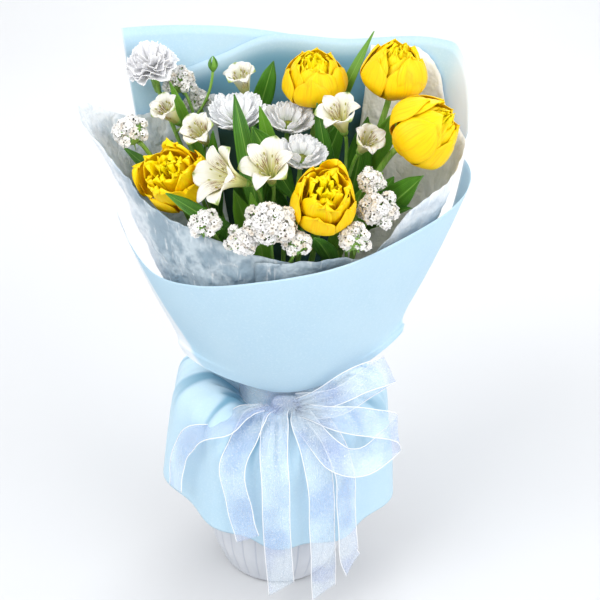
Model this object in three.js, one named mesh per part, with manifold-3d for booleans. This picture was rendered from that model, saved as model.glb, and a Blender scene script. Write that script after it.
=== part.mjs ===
// A wrapped bunch of double tulips and small white flowers, standing in a fluted vase.
// Millimetres, +Z up, the middle of the vase's foot at the origin, the bunch's front towards -Y.
// Angles round the bunch (phi, degrees) start at the front and grow towards +X.

import * as THREE from 'three';
import { mergeVertices } from 'three/addons/utils/BufferGeometryUtils.js';
import Module from 'manifold-3d';

const wasm = await Module();
wasm.setup();

// ---------------------------------------------------------------- driving dimensions

const GAP = 0.3;
const VASE = { footRadius: 56, height: 124, rimRadius: 75, wall: 4, floor: 5, flutes: 32, fluteDepth: 1.3 };
const WATER_TOP = 88;
const TIE = { z: 200, height: 24, innerRadius: 26.1, outerRadius: 30.4 };
const CONTRACTION = 0.2;
const WRAP = { neckRadius: 36.6, neckZ: 213, topZ: 510, side: 180, front: 120, back: 98, flare: 0.5 };
const NECK_LEVELS = [188, 213, 219, 231, 253, 292];
const LAYER_SPREAD = 1.2;
const OVERLAP_SHARE = 0.16;
const THICKNESS = { paper: 0.7, tissue: 0.6 };
const RIBBON = { thickness: 0.6, width: 24, bandRadius: 38.5 };
const STEM_SIDES = 5;
const STEM_STEPS = 6;
const STEM_RADIUS = { tulip: 2.6, alstroemeria: 2, daisy: 1.9, statice: 1.8, carnation: 1.8 };
const LETTERS = 'abc';
const SLIVER = 0.08;

// ---------------------------------------------------------------- materials

function material(name, color, roughness, extra = {}) {
  return new THREE.MeshStandardMaterial({ name, color, roughness, metalness: 0, ...extra });
}

const MATERIAL = {
  ceramic: material('ceramic', '#f4f5f6', 0.35),
  water: material('water', '#dfeaec', 0.1, { transparent: true, opacity: 0.5 }),
  twine: material('twine', '#c9b58c', 0.9),
  paper: material('paper', '#b9d9ee', 0.6),
  tissue: material('tissue', '#dfe8ee', 0.8),
  ribbon: material('ribbon', '#e6ebf8', 0.6, { transparent: true, opacity: 0.75 }),
  tulip: material('tulip_petal', '#f9c80f', 0.55),
  white: material('white_petal', '#fbfaf4', 0.6),
  papery: material('papery_floret', '#f5f1ee', 0.8),
  green: material('stem_leaf', '#4f8f35', 0.5),
};

// ---------------------------------------------------------------- small helpers

const radians = THREE.MathUtils.degToRad;
const { clamp, smoothstep } = THREE.MathUtils;
const vec = (x, y, z) => new THREE.Vector3(x, y, z);

function mix(a, b, t) {
  return a + (b - a) * t;
}

function around(phi, radius, z) {
  return vec(radius * Math.sin(radians(phi)), -radius * Math.cos(radians(phi)), z);
}

// A repeatable stream of numbers from 0 to 1.
function randomStream(seed) {
  let state = seed * 2654435761 % 4294967296;
  return () => {
    state = (state * 1664525 + 1013904223) % 4294967296;
    return state / 4294967296;
  };
}

// A smooth value along named keys [[x, value], ...].
function along(keys, x) {
  const last = keys.length - 1;
  if (x <= keys[0][0]) return keys[0][1];
  if (x >= keys[last][0]) return keys[last][1];
  const i = keys.findIndex(([at], k) => k < last && x < keys[k + 1][0]);
  const [x0, y0] = keys[i];
  const [x1, y1] = keys[i + 1];
  const slope = (k) => {
    const before = keys[Math.max(k - 1, 0)];
    const after = keys[Math.min(k + 1, last)];
    return (after[1] - before[1]) / (after[0] - before[0]);
  };
  const t = (x - x0) / (x1 - x0);
  const span = x1 - x0;
  const t2 = t * t;
  const t3 = t2 * t;
  return (2 * t3 - 3 * t2 + 1) * y0 + (t3 - 2 * t2 + t) * span * slope(i)
    + (3 * t2 - 2 * t3) * y1 + (t3 - t2) * span * slope(i + 1);
}

// ---------------------------------------------------------------- solids

function toSolid(geometry) {
  const plain = geometry.clone();
  plain.deleteAttribute('normal');
  plain.deleteAttribute('uv');
  const welded = mergeVertices(plain, 1e-4);
  const mesh = new wasm.Mesh({
    numProp: 3,
    vertProperties: new Float32Array(welded.attributes.position.array),
    triVerts: new Uint32Array(welded.index.array),
  });
  return new wasm.Manifold(mesh);
}

function toGeometry(solid) {
  const mesh = solid.getMesh();
  const geometry = new THREE.BufferGeometry();
  geometry.setAttribute('position', new THREE.BufferAttribute(mesh.vertProperties, 3));
  geometry.setIndex(new THREE.BufferAttribute(mesh.triVerts, 1));
  return geometry;
}

// Joins pieces into one body and drops loose scraps and sealed hollows.
function fuse(pieces) {
  const joined = wasm.Manifold.union(pieces).simplify(SLIVER);
  const bodies = joined.decompose();
  const size = (body) => Math.abs(body.volume());
  return bodies.reduce((best, body) => (size(body) > size(best) ? body : best));
}

// A sheet of even thickness over surface(u, v), with u and v from 0 to 1.
function sheet(surface, columns, rows, thickness, closed = false) {
  const step = 1e-3;
  const ring = closed ? columns : columns + 1;
  const positions = [];
  const place = (u, v, side) => {
    const du = surface(closed ? u + step : Math.min(u + step, 1), v)
      .sub(surface(closed ? u - step : Math.max(u - step, 0), v));
    const dv = surface(u, Math.min(v + step, 1)).sub(surface(u, Math.max(v - step, 0)));
    const normal = du.cross(dv).normalize();
    const p = surface(u, v).addScaledVector(normal, side * thickness / 2);
    positions.push(p.x, p.y, p.z);
  };
  for (const side of [1, -1]) {
    for (let row = 0; row <= rows; row += 1) {
      for (let column = 0; column < ring; column += 1) place(column / columns, row / rows, side);
    }
  }
  const layer = ring * (rows + 1);
  const at = (column, row, side) => (side > 0 ? 0 : layer) + row * ring + column % ring;
  const index = [];
  const quad = (a, b, c, d) => index.push(a, b, c, a, c, d);
  for (let row = 0; row < rows; row += 1) {
    for (let column = 0; column < columns; column += 1) {
      quad(at(column, row, 1), at(column + 1, row, 1), at(column + 1, row + 1, 1), at(column, row + 1, 1));
      index.push(at(column, row, -1), at(column + 1, row + 1, -1), at(column + 1, row, -1));
      index.push(at(column, row, -1), at(column, row + 1, -1), at(column + 1, row + 1, -1));
    }
  }
  for (let column = 0; column < columns; column += 1) {
    quad(at(column + 1, 0, 1), at(column, 0, 1), at(column, 0, -1), at(column + 1, 0, -1));
    quad(at(column, rows, 1), at(column + 1, rows, 1), at(column + 1, rows, -1), at(column, rows, -1));
  }
  for (let row = 0; row < rows && !closed; row += 1) {
    quad(at(0, row, 1), at(0, row + 1, 1), at(0, row + 1, -1), at(0, row, -1));
    quad(at(columns, row + 1, 1), at(columns, row, 1), at(columns, row, -1), at(columns, row + 1, -1));
  }
  const geometry = new THREE.BufferGeometry();
  geometry.setAttribute('position', new THREE.Float32BufferAttribute(positions, 3));
  geometry.setIndex(index);
  return toSolid(geometry);
}

function polygon(radius, sides) {
  const turn = (i) => (2 * Math.PI * i) / sides;
  const corner = (i) => new THREE.Vector2(radius * Math.cos(turn(i)), radius * Math.sin(turn(i)));
  return new THREE.Shape(repeat(sides, corner));
}

function rod(path, radius, steps, sides = STEM_SIDES) {
  return toSolid(new THREE.ExtrudeGeometry(polygon(radius, sides), { steps, extrudePath: path }));
}

function lathe(profile, segments, matrix = new THREE.Matrix4()) {
  const points = profile.map(([r, z]) => new THREE.Vector2(r, z));
  const geometry = new THREE.LatheGeometry(points, segments).rotateX(Math.PI / 2);
  return toSolid(geometry.applyMatrix4(matrix));
}

// The matrix that carries a bloom's own axes (+Z out of the bloom) to a place on the bunch.
function bloomFrame(centre, axis, spin = 0) {
  const z = vec(...axis).normalize();
  const x = vec(1, 0, 0).addScaledVector(z, -z.x).normalize();
  const y = z.clone().cross(x);
  const matrix = new THREE.Matrix4().makeBasis(x, y, z).setPosition(vec(...centre));
  return matrix.multiply(new THREE.Matrix4().makeRotationZ(radians(spin)));
}

function placed(surface, matrix) {
  return (u, v) => surface(u, v).applyMatrix4(matrix);
}

function raised(matrix, height) {
  return matrix.clone().multiply(new THREE.Matrix4().makeTranslation(0, 0, height));
}

// The point at a distance along an axis from a centre.
function offset(centre, axis, distance) {
  return vec(...centre).addScaledVector(vec(...axis).normalize(), distance);
}

// A place in a bloom's own axes, out along an angle and across it.
function polar(angle, out, across, up) {
  const c = Math.cos(angle);
  const s = Math.sin(angle);
  return vec(out * c - across * s, out * s + across * c, up);
}

// A coarse ball ends in an edge at this share of its radius, above and below.
const BALL_POLE = 0.851;

function ball(radius, matrix, squash = 1, detail = 1) {
  const geometry = new THREE.IcosahedronGeometry(radius, detail).scale(1, 1, squash);
  return toSolid(geometry.applyMatrix4(matrix));
}

function repeat(count, make) {
  return Array.from({ length: count }, (_, k) => make(k));
}

// ---------------------------------------------------------------- vase and water

// Heights at which the vase's outside and inside have a ring of points.
const VASE_LEVELS = { foot: 4, belly: 40 };

function vaseRadius(z) {
  const { footRadius, rimRadius, height } = VASE;
  const { foot, belly } = VASE_LEVELS;
  return along([[0, footRadius - foot], [foot, footRadius], [belly, 68], [height, rimRadius]], z);
}

function vase() {
  const rings = [0, VASE_LEVELS.foot, VASE_LEVELS.belly, VASE.height];
  const segments = VASE.flutes * 2;
  const positions = [0, 0, 0];
  const index = [];
  for (const z of rings) {
    for (let i = 0; i < segments; i += 1) {
      const depth = i % 2 && z > 0 && z < VASE.height ? VASE.fluteDepth : 0;
      const p = around(i * 360 / segments, vaseRadius(z) - depth, z);
      positions.push(p.x, p.y, p.z);
    }
  }
  positions.push(0, 0, VASE.height);
  const top = positions.length / 3 - 1;
  const at = (ring, i) => 1 + ring * segments + i % segments;
  for (let i = 0; i < segments; i += 1) {
    index.push(0, at(0, i + 1), at(0, i));
    index.push(top, at(rings.length - 1, i), at(rings.length - 1, i + 1));
    for (let ring = 0; ring < rings.length - 1; ring += 1) {
      index.push(at(ring, i), at(ring, i + 1), at(ring + 1, i + 1));
      index.push(at(ring, i), at(ring + 1, i + 1), at(ring + 1, i));
    }
  }
  const geometry = new THREE.BufferGeometry();
  geometry.setAttribute('position', new THREE.Float32BufferAttribute(positions, 3));
  geometry.setIndex(index);
  return toSolid(geometry).subtract(vaseInside(0, VASE.height + 1));
}

// The room inside the vase, shrunk by a clearance and filled to a level.
function vaseInside(clearance, top) {
  const bottom = VASE.floor + clearance;
  const wall = VASE.wall + VASE.fluteDepth + clearance;
  const levels = [...new Set([bottom, VASE_LEVELS.belly, WATER_TOP, top])].filter((z) => z <= top);
  const sides = levels.map((z) => [vaseRadius(z) - wall, z]);
  return lathe([[0, bottom], ...sides, [0, top]], 20);
}

function water(stems) {
  const holes = stems.map((stem) => stem.hole());
  return vaseInside(GAP, WATER_TOP).subtract(wasm.Manifold.union(holes));
}

// ---------------------------------------------------------------- wrap, tissue and skirt

function wrapRadius(phi, z, inset) {
  const s = Math.sin(radians(phi));
  const c = Math.cos(radians(phi));
  const deep = c > 0 ? WRAP.front : WRAP.back;
  const topRadius = 1 / Math.hypot(s / WRAP.side, c / deep);
  const height = Math.max((z - inset - WRAP.neckZ) / (WRAP.topZ - WRAP.neckZ), 0);
  const spread = inset * (1 + LAYER_SPREAD * height);
  return mix(WRAP.neckRadius, topRadius, height ** WRAP.flare) - spread;
}

// The first rows of every sheet share their heights, so that sheets close together keep their gap.
function sheetHeight(low, high, v, rows) {
  const shared = NECK_LEVELS.length - 1;
  const row = v * rows;
  if (row >= shared) return mix(NECK_LEVELS[shared], high, (row - shared) / (rows - shared));
  const share = (level) => (level - NECK_LEVELS[0]) / (NECK_LEVELS[shared] - NECK_LEVELS[0]);
  const k = Math.min(Math.floor(row), shared - 1);
  return mix(low, NECK_LEVELS[shared], mix(share(NECK_LEVELS[k]), share(NECK_LEVELS[k + 1]), row - k));
}

// Crossing waves that only ever push a sheet inwards, from 0 to -2.
function wrinkle(phi, z) {
  return (Math.sin(phi * 0.21 + z * 0.03) + Math.sin(phi * 0.13 - z * 0.05) - 2) / 2;
}

// How far a loose flap of a sheet flares out past the wrap, round its middle angle and near its top.
function flare({ middle, reach, low, high, out }, phi, z) {
  return out * smoothstep(1 - Math.abs(phi - middle) / reach, 0, 0.7) * smoothstep(z, low, high);
}

const NO_FLAP = { middle: 0, reach: 1, low: 0, high: 1, out: 0 };

// A sheet whose lower and upper edges are given as [phi, z] keys, from left to right.
function wrapSheet({ lower, upper, inset, crumple = 0, standOff = 0, flap = NO_FLAP, columns, rows, thickness }) {
  const edge = (keys) => {
    const share = keys.map((key, i) => [i / (keys.length - 1), key]);
    return (u) => ({
      phi: along(share.map(([at, key]) => [at, key[0]]), u),
      z: along(share.map(([at, key]) => [at, key[1]]), u),
    });
  };
  const low = edge(lower);
  const high = edge(upper);
  const surface = (u, v) => {
    const a = low(u);
    const b = high(u);
    const z = sheetHeight(a.z, b.z, v, rows);
    const phi = mix(a.phi, b.phi, ((z - a.z) / (b.z - a.z)) ** 0.7);
    const ends = clamp(6 * (Math.min(u, 1 - u) - OVERLAP_SHARE), 0, 1);
    const crease = crumple * ends * smoothstep(z, WRAP.neckZ, WRAP.topZ) * wrinkle(phi, z);
    const corner = standOff * smoothstep(Math.abs(2 * u - 1), 0.3, 1) * (1 - v) ** 2;
    return around(phi, wrapRadius(phi, z, inset) + crease + corner + flare(flap, phi, z), z);
  };
  return sheet(surface, columns, rows, thickness);
}

const SHEETS = {
  wrap_front: {
    inset: -0.4, standOff: 11, columns: 13, rows: 7,
    lower: [[-64, 248], [-44, 233], [-14, 219], [18, 207], [44, 220], [60, 244], [74, 272]],
    upper: [[-86, 368], [-68, 335], [-44, 336], [-11, 350], [28, 366], [60, 390], [98, 412]],
  },
  wrap_back_left: {
    inset: 2.0, columns: 8, rows: 7,
    lower: [[-190, 188], [-140, 188], [-100, 188]],
    upper: [[-190, 492], [-150, 500], [-112, 505]],
  },
  wrap_back_right: {
    inset: 3.1, columns: 12, rows: 7,
    lower: [[96, 188], [170, 188], [244, 188]],
    upper: [[97, 436], [108, 492], [118, 502], [150, 493], [190, 494], [215, 478], [238, 462]],
  },
  tissue_right: {
    inset: 4.2, crumple: 4, columns: 12, rows: 7,
    lower: [[-14, 188], [62, 188], [138, 188]],
    upper: [[-14, 362], [28, 368], [44, 366], [62, 408], [84, 424], [103, 446], [118, 490], [138, 490]],
  },
  tissue_left: {
    inset: 5.4, crumple: 3, columns: 12, rows: 7,
    flap: { middle: -90, reach: 20, low: 385, high: 462, out: 17 },
    lower: [[-138, 188], [-60, 188], [10, 188]],
    upper: [
      [-138, 446], [-118, 436], [-104, 438], [-90, 460], [-76, 424], [-60, 393], [-40, 383], [-16, 370],
      [10, 362],
    ],
  },
};

// The skirt's section from the neck out over the shoulder and down: [share, radius, height].
const SKIRT = {
  pleats: 10,
  pleatDepth: 3.6,
  slant: 9,
  front: [
    [0, 35.8, 211], [0.1, 35.8, 187], [0.2, 42, 181], [0.36, 62, 176],
    [0.52, 80, 158], [0.74, 86, 122], [1, 88, 76],
  ],
  side: [
    [0, 35.8, 211], [0.1, 35.8, 187], [0.2, 42, 189], [0.36, 66, 211],
    [0.52, 94, 199], [0.74, 104, 156], [1, 110, 103],
  ],
};

function skirtPoint(phi, share, lift) {
  const sideways = Math.sin(radians(phi)) ** 2;
  const pick = (keys, column) => along(keys.map((key) => [key[0], key[column]]), share);
  const radius = mix(pick(SKIRT.front, 1), pick(SKIRT.side, 1), sideways);
  const z = mix(pick(SKIRT.front, 2), pick(SKIRT.side, 2), sideways);
  return around(phi, radius + lift, z - SKIRT.slant * share * Math.sin(radians(phi)));
}

function skirt() {
  const surface = (u, v) => {
    const phi = 360 * u;
    const depth = SKIRT.pleatDepth * smoothstep(v, 0.1, 0.5);
    return skirtPoint(phi, v, depth * Math.cos(radians(phi * SKIRT.pleats)));
  };
  return sheet(surface, SKIRT.pleats * 3, 7, THICKNESS.paper, true);
}

// ---------------------------------------------------------------- ribbon

// A strip narrows to `gather` of its width where it leaves the knot.
function strip(points, side, width, steps, gather = 0.5) {
  const path = new THREE.CatmullRomCurve3(points.map((p) => vec(...p)), false, 'centripetal');
  const surface = (u, v) => {
    const across = side.clone();
    const tangent = path.getTangent(v);
    across.addScaledVector(tangent, -across.dot(tangent)).normalize();
    const spread = mix(gather, 1, smoothstep(Math.min(v, 1), 0, 0.25));
    return path.getPoint(v).addScaledVector(across, (u - 0.5) * width * spread);
  };
  return sheet(surface, 1, steps, RIBBON.thickness);
}

// A tail lies over the skirt at the given [phi, share] places and then hangs at the last heights.
function tail(over, hang, width) {
  const lift = SKIRT.pleatDepth + 5;
  const lying = over.map(([phi, share]) => {
    const p = skirtPoint(phi, share, lift);
    return [p.x, p.y, p.z + 7 * (1 - share)];
  });
  const start = [lying[0][0] * 0.4 + 4, -RIBBON.bandRadius - 6, TIE.z];
  const crest = around(over[0][0] * 0.9, 58, TIE.z - 3).toArray();
  const points = [start, crest, ...lying, ...hang];
  const [phi] = over[over.length - 1];
  return strip(points, vec(Math.cos(radians(phi)), Math.sin(radians(phi)), 0.15), width, 8);
}

const LOOPS = [
  {
    side: [-0.4, 0.35, 0.85],
    points: [
      [14, -49, 204], [40, -66, 226], [68, -68, 246], [89, -60, 250],
      [93, -46, 242], [76, -46, 228], [50, -54, 213], [16, -48, 203],
    ],
  },
  {
    side: [-0.1, 0.62, 0.77],
    points: [
      [14, -48, 200], [46, -80, 214], [80, -80, 210], [102, -68, 196],
      [98, -64, 180], [74, -84, 172], [52, -92, 180], [16, -50, 196],
    ],
  },
];

function ribbon() {
  const bandSurface = (u, v) => around(360 * u, RIBBON.bandRadius, TIE.z + (v - 0.5) * TIE.height);
  const band = sheet(bandSurface, 20, 1, RIBBON.thickness, true);
  const knot = toSolid(new THREE.IcosahedronGeometry(1, 1).scale(19, 6, 13).translate(10, -44.5, TIE.z + 1));
  const loops = LOOPS.map(({ side, points }) => strip(points, vec(...side), RIBBON.width, 10));
  const tails = [
    tail([[-36, 0.42], [-48, 0.56], [-56, 0.72]], [[-93, -66, 120]], RIBBON.width),
    tail([[-23, 0.42], [-25, 0.57], [-20, 0.78]], [[-25, -96, 87]], RIBBON.width),
    tail([[-3, 0.42], [-1, 0.6], [0, 0.85]], [[3, -94, 60], [6, -90, 20]], RIBBON.width),
    tail([[22, 0.42], [23, 0.6], [24, 0.85]], [[43, -92, 60], [45, -88, 18]], RIBBON.width),
    tail([[34, 0.44], [36, 0.6], [37, 0.82]], [[66, -88, 70], [72, -84, 48]], RIBBON.width - 4),
  ];
  return fuse([band, knot, ...loops, ...tails]);
}

// ---------------------------------------------------------------- stems

// A straight stretch in the vase and through the tie, then a bend out to the head.
class StemPath extends THREE.Curve {
  constructor(foot, head, direction, reach) {
    super();
    const rise = vec(foot.x, foot.y, TIE.z + TIE.height / 2);
    this.foot = foot;
    this.rise = rise;
    const pull = head.clone().addScaledVector(direction, -reach);
    const ease = rise.clone().lerp(head, 0.3);
    ease.x = mix(foot.x, head.x, 0.16);
    ease.y = mix(foot.y, head.y, 0.16);
    this.bend = new THREE.CubicBezierCurve3(rise, ease, pull, head);
    this.share = 1 / STEM_STEPS;
  }

  // The first step is the whole straight stretch; the others share the bend.
  getUtoTmapping(u) {
    return u;
  }

  getPoint(t, target = vec(0, 0, 0)) {
    if (t <= this.share) return target.lerpVectors(this.foot, this.rise, t / this.share);
    return target.copy(this.bend.getPoint((t - this.share) / (1 - this.share)));
  }

  // The place on the bent stretch at a share of its length.
  along(share) {
    return this.bend.getPoint(share);
  }
}

class Stem {
  constructor({ x, y }, head, axis, radius, reach = 30) {
    const direction = vec(...axis).normalize();
    this.radius = radius;
    this.foot = vec(x, y, VASE.floor + GAP);
    this.path = new StemPath(this.foot, vec(...head), direction, reach);
  }

  solid() {
    return rod(this.path, this.radius, STEM_STEPS);
  }

  hole() {
    const { x, y } = this.foot;
    const line = new THREE.LineCurve3(vec(x, y, 2), vec(x, y, WATER_TOP + 4));
    return rod(line, this.radius + GAP + 0.15, 1);
  }
}

function footOf([x, y]) {
  return { x: x * CONTRACTION, y: y * CONTRACTION };
}

const LEAF = { thickness: 0.7, fold: 0.18 };

// A lance-shaped blade from a place on a stem to a tip; face is the way its upper side looks.
function leaf(stem, { at, tip, width, bow, face }) {
  const start = stem.path.along(at);
  const end = vec(...tip);
  const upper = vec(...face).normalize();
  const pull = start.clone().lerp(end, 0.5).addScaledVector(upper, -bow);
  const line = new THREE.QuadraticBezierCurve3(start, pull, end);
  const halfWidths = [[0, 1.2], [0.15, width * 0.2], [0.5, width * 0.5], [0.8, width * 0.36], [1, 0.5]];
  const surface = (u, v) => {
    const across = line.getTangent(v).cross(upper).normalize();
    const lean = across.clone().cross(line.getTangent(v)).normalize();
    const half = along(halfWidths, v);
    const s = 2 * u - 1;
    const middle = line.getPoint(v).addScaledVector(across, -s * half);
    return middle.addScaledVector(lean, LEAF.fold * half * Math.abs(s));
  };
  return sheet(surface, 2, 4, LEAF.thickness);
}

// ---------------------------------------------------------------- tulips

// A double tulip's petals, from the outside in.
const TULIP_LAYERS = [
  { count: 5, radius: 1, height: 0.92, width: 0.62, turn: 0, rows: 3, root: [0.3, 0.1] },
  { count: 4, radius: 0.78, height: 1, width: 0.58, turn: 36, rows: 3, root: [0.28, 0.2] },
  { count: 3, radius: 0.5, height: 0.95, width: 0.46, turn: 12, rows: 2, root: [0.2, 0.34] },
];

const TULIP_CORE = { share: 0.42, lift: 0.7, squash: 0.75 };

function tulipPetal(layer, k, size, random) {
  const angle = layer.turn + (360 * k) / layer.count + 8 * (random() - 0.5);
  const tall = size.height * layer.height * (0.94 + 0.12 * random());
  const wide = size.radius * layer.radius;
  const ruffle = 1.6 * (random() - 0.5);
  const [rootOut, rootUp] = layer.root;
  const rootHeight = rootUp * size.height;
  const rootRadius = rootOut * size.radius;
  const mouth = wide * size.opening;
  const radiusKeys = [[0, rootRadius], [0.3, wide * 0.8], [0.55, wide], [0.8, wide * 0.96], [1, mouth]];
  const heightKeys = [[0, 0], [0.3, 0.2], [0.55, 0.45], [0.8, 0.78], [1, 1]]
    .map(([at, up]) => [at, mix(rootHeight, tall, up)]);
  const widthKeys = [[0, 0.12], [0.3, 0.66], [0.55, 0.98], [0.8, 0.86], [1, 0.3]];
  return (u, v) => {
    const s = 2 * u - 1;
    const r = along(radiusKeys, v);
    const half = along(widthKeys, v) * size.radius * layer.width;
    const turn = radians(angle) + s * half / r;
    const shingle = (0.03 * s * size.radius + ruffle * s * s) * v;
    return polar(turn, r + shingle, 0, along(heightKeys, v) - s * s * 2 * v);
  };
}

const TULIPS = {
  tulip_1: { centre: [-86, -34, 409], axis: [-0.35, -0.55, 0.75], radius: 27, height: 44, opening: 0.95 },
  tulip_2: { centre: [22, 32, 472], axis: [-0.05, -0.25, 1], radius: 27, height: 44, opening: 0.9 },
  tulip_3: { centre: [86, 20, 484], axis: [0.12, -0.18, 1], radius: 27, height: 46, opening: 0.85 },
  tulip_4: { centre: [107, -29, 453], axis: [0.7, -0.3, 0.66], radius: 30, height: 53, opening: 0.8 },
  tulip_5: { centre: [31, -75, 411], axis: [0.05, -0.6, 0.8], radius: 25, height: 48, opening: 0.9 },
};

function tulipBase({ centre, axis, height }) {
  return offset(centre, axis, -height / 2);
}

function tulipBloom(tulip, seed) {
  const random = randomStream(seed);
  const matrix = bloomFrame(tulipBase(tulip).toArray(), tulip.axis, seed * 23);
  const coreRadius = tulip.radius * TULIP_CORE.share;
  const core = ball(coreRadius, raised(matrix, coreRadius * TULIP_CORE.lift), TULIP_CORE.squash, 0);
  const petals = TULIP_LAYERS.flatMap((layer) => repeat(layer.count, (k) => {
    const petal = tulipPetal(layer, k, tulip, random);
    return sheet(placed(petal, matrix), 2, layer.rows, 0.8);
  }));
  return fuse([core, ...petals]);
}

// ---------------------------------------------------------------- white flowers

const THROAT_HALF = 3.2;

// One trumpet-shaped floret: tepals that rise together from a six-sided throat and spread at the mouth,
// where a mouth of 1 is fully open.
function floretTepals({ centre, axis, radius, mouth }, seed) {
  const random = randomStream(seed);
  const length = radius * 1.4;
  const base = offset(centre, axis, -length * 0.55);
  const matrix = bloomFrame(base.toArray(), axis, seed * 31);
  const tepal = (k) => {
    const wide = radius * (k % 2 ? 0.28 : 0.4);
    const angle = radians(60 * k + 8 * (random() - 0.5));
    const reach = radius * (0.9 + 0.2 * random());
    const ring = radius * (k % 2 ? 0.84 : 1);
    return (u, v) => {
      const s = 2 * u - 1;
      const spread = [[0, 2.2], [0.4, ring * 0.28], [0.75, ring * 0.64 * mouth], [1, reach * mouth]];
      const out = along(spread, v);
      const up = along([[0, 0], [0.4, length * 0.48], [0.75, length * 0.86], [1, length]], v);
      const half = along([[0, 1.1], [0.4, wide * 0.45], [0.7, wide], [1, 0.6]], v);
      const lift = 0.25 * half * s * s;
      return polar(angle, out - lift * 0.5, s * half, up + lift);
    };
  };
  const tube = new THREE.CylinderGeometry(4.3, 2, 2 * THROAT_HALF, 6);
  const throat = toSolid(tube.rotateX(Math.PI / 2).applyMatrix4(matrix));
  const tepals = repeat(6, (k) => sheet(placed(tepal(k), matrix), k % 2 ? 1 : 2, 2, 0.7));
  return { solid: fuse([throat, ...tepals]), base };
}

const ALSTROEMERIAS = {
  alstroemeria_1: [
    { centre: [-97, 16, 447], axis: [-0.45, -0.5, 0.75], radius: 19, mouth: 0.7 },
    { centre: [-69, -5, 437], axis: [-0.3, -0.6, 0.75], radius: 20, mouth: 0.75 },
  ],
  alstroemeria_2: [
    { centre: [-43, -66, 426], axis: [-0.75, -0.5, 0.45], radius: 26, mouth: 1 },
    { centre: [-12, -53, 427], axis: [-0.15, -0.55, 0.8], radius: 24, mouth: 0.95 },
  ],
  alstroemeria_3: [
    { centre: [-38, 44, 466], axis: [-0.2, -0.35, 0.93], radius: 20, mouth: 0.7 },
  ],
  alstroemeria_4: [
    { centre: [43, -12, 456], axis: [-0.25, -0.45, 0.85], radius: 22, mouth: 0.85 },
    { centre: [64, -22, 440], axis: [0.3, -0.6, 0.75], radius: 19, mouth: 0.75 },
  ],
};

const CARNATION = { centre: [-113, 40, 476], axis: [-0.15, -0.35, 0.93], radius: 23, bud: [-62, 37, 483] };
const CARNATION_CORE = { share: 0.42, squash: 0.85 };
const CARNATION_LAYERS = [
  { count: 7, reach: 1, rise: 0.1, width: 0.41 },
  { count: 5, reach: 0.8, rise: 0.42, width: 0.58 },
  { count: 3, reach: 0.56, rise: 0.74, width: 0.8 },
];

function carnationBloom(seed) {
  const random = randomStream(seed);
  const { radius, axis } = CARNATION;
  const matrix = bloomFrame(CARNATION.centre, axis);
  const petal = (layer, k) => {
    const angle = radians((360 * k) / layer.count + 225 * layer.rise + 12 * (random() - 0.5));
    const reach = radius * layer.reach * (0.92 + 0.16 * random());
    const wave = random() < 0.5 ? 1 : -1;
    return (u, v) => {
      const s = 2 * u - 1;
      const notch = 0.12 * reach * Math.abs(Math.cos(s * Math.PI)) * v;
      const out = mix(radius * 0.3, reach - notch, v);
      const half = mix(1.2, layer.width * reach, v);
      const up = layer.rise * radius * (0.25 + 0.75 * v) + wave * 1.6 * Math.cos(s * Math.PI) * v;
      return polar(angle, out, s * half, up);
    };
  };
  const core = ball(radius * CARNATION_CORE.share, matrix, CARNATION_CORE.squash, 0);
  const petals = CARNATION_LAYERS.flatMap((layer) => (
    repeat(layer.count, (k) => sheet(placed(petal(layer, k), matrix), 2, 2, 0.7))));
  return fuse([core, ...petals]);
}

const DAISIES = {
  daisy_1: { centre: [-40, 11, 443], axis: [-0.1, -0.3, 0.95], radius: 26 },
  daisy_2: { centre: [1, 11, 440], axis: [0.1, -0.3, 0.95], radius: 22 },
  daisy_3: { centre: [13, -27, 426], axis: [0.1, -0.3, 0.95], radius: 21.5 },
};
const DAISY = { petals: 9, hole: 3.2, eye: 5.2, ring: 6.5, width: 0.2 };

function daisyPetals(daisy, seed) {
  const random = randomStream(seed);
  const matrix = bloomFrame(daisy.centre, daisy.axis, seed * 7);
  const { hole, ring } = DAISY;
  const section = [[hole, -1], [ring, -1], [ring, 1], [hole, 1], [hole, -1]];
  const petal = (k) => {
    const angle = radians((360 * k) / DAISY.petals);
    const reach = daisy.radius * (0.84 + 0.2 * random());
    const droop = 3 * (random() - 0.6);
    return (u, v) => {
      const s = 2 * u - 1;
      const out = mix(hole + 1.5, reach, v);
      const half = along([[0, 0.3], [0.6, 1], [1, 0.6]], v) * daisy.radius * DAISY.width;
      const up = along([[0, 0], [0.5, 0.12], [1, 0.46]], v) * daisy.radius + droop * v + 0.3 * s;
      return polar(angle, out, s * half, up);
    };
  };
  const petals = repeat(DAISY.petals, (k) => sheet(placed(petal(k), matrix), 1, 2, 0.7));
  return fuse([lathe(section, DAISY.petals, matrix), ...petals]);
}

// The eye above the petals, the neck through their hole and the calyx below, all one green body.
function daisyEye(daisy) {
  const face = 1 + GAP;
  const neck = DAISY.hole - 1.7 * GAP;
  const calyx = [[0, -4.5], [3.4, -3.2], [4.4, -face]];
  const eye = [[DAISY.eye, face], [DAISY.eye * 0.8, 2.8], [0, 3.6]];
  return lathe([...calyx, [neck, -face], [neck, face], ...eye], 8, bloomFrame(daisy.centre, daisy.axis));
}

// ---------------------------------------------------------------- statice

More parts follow.
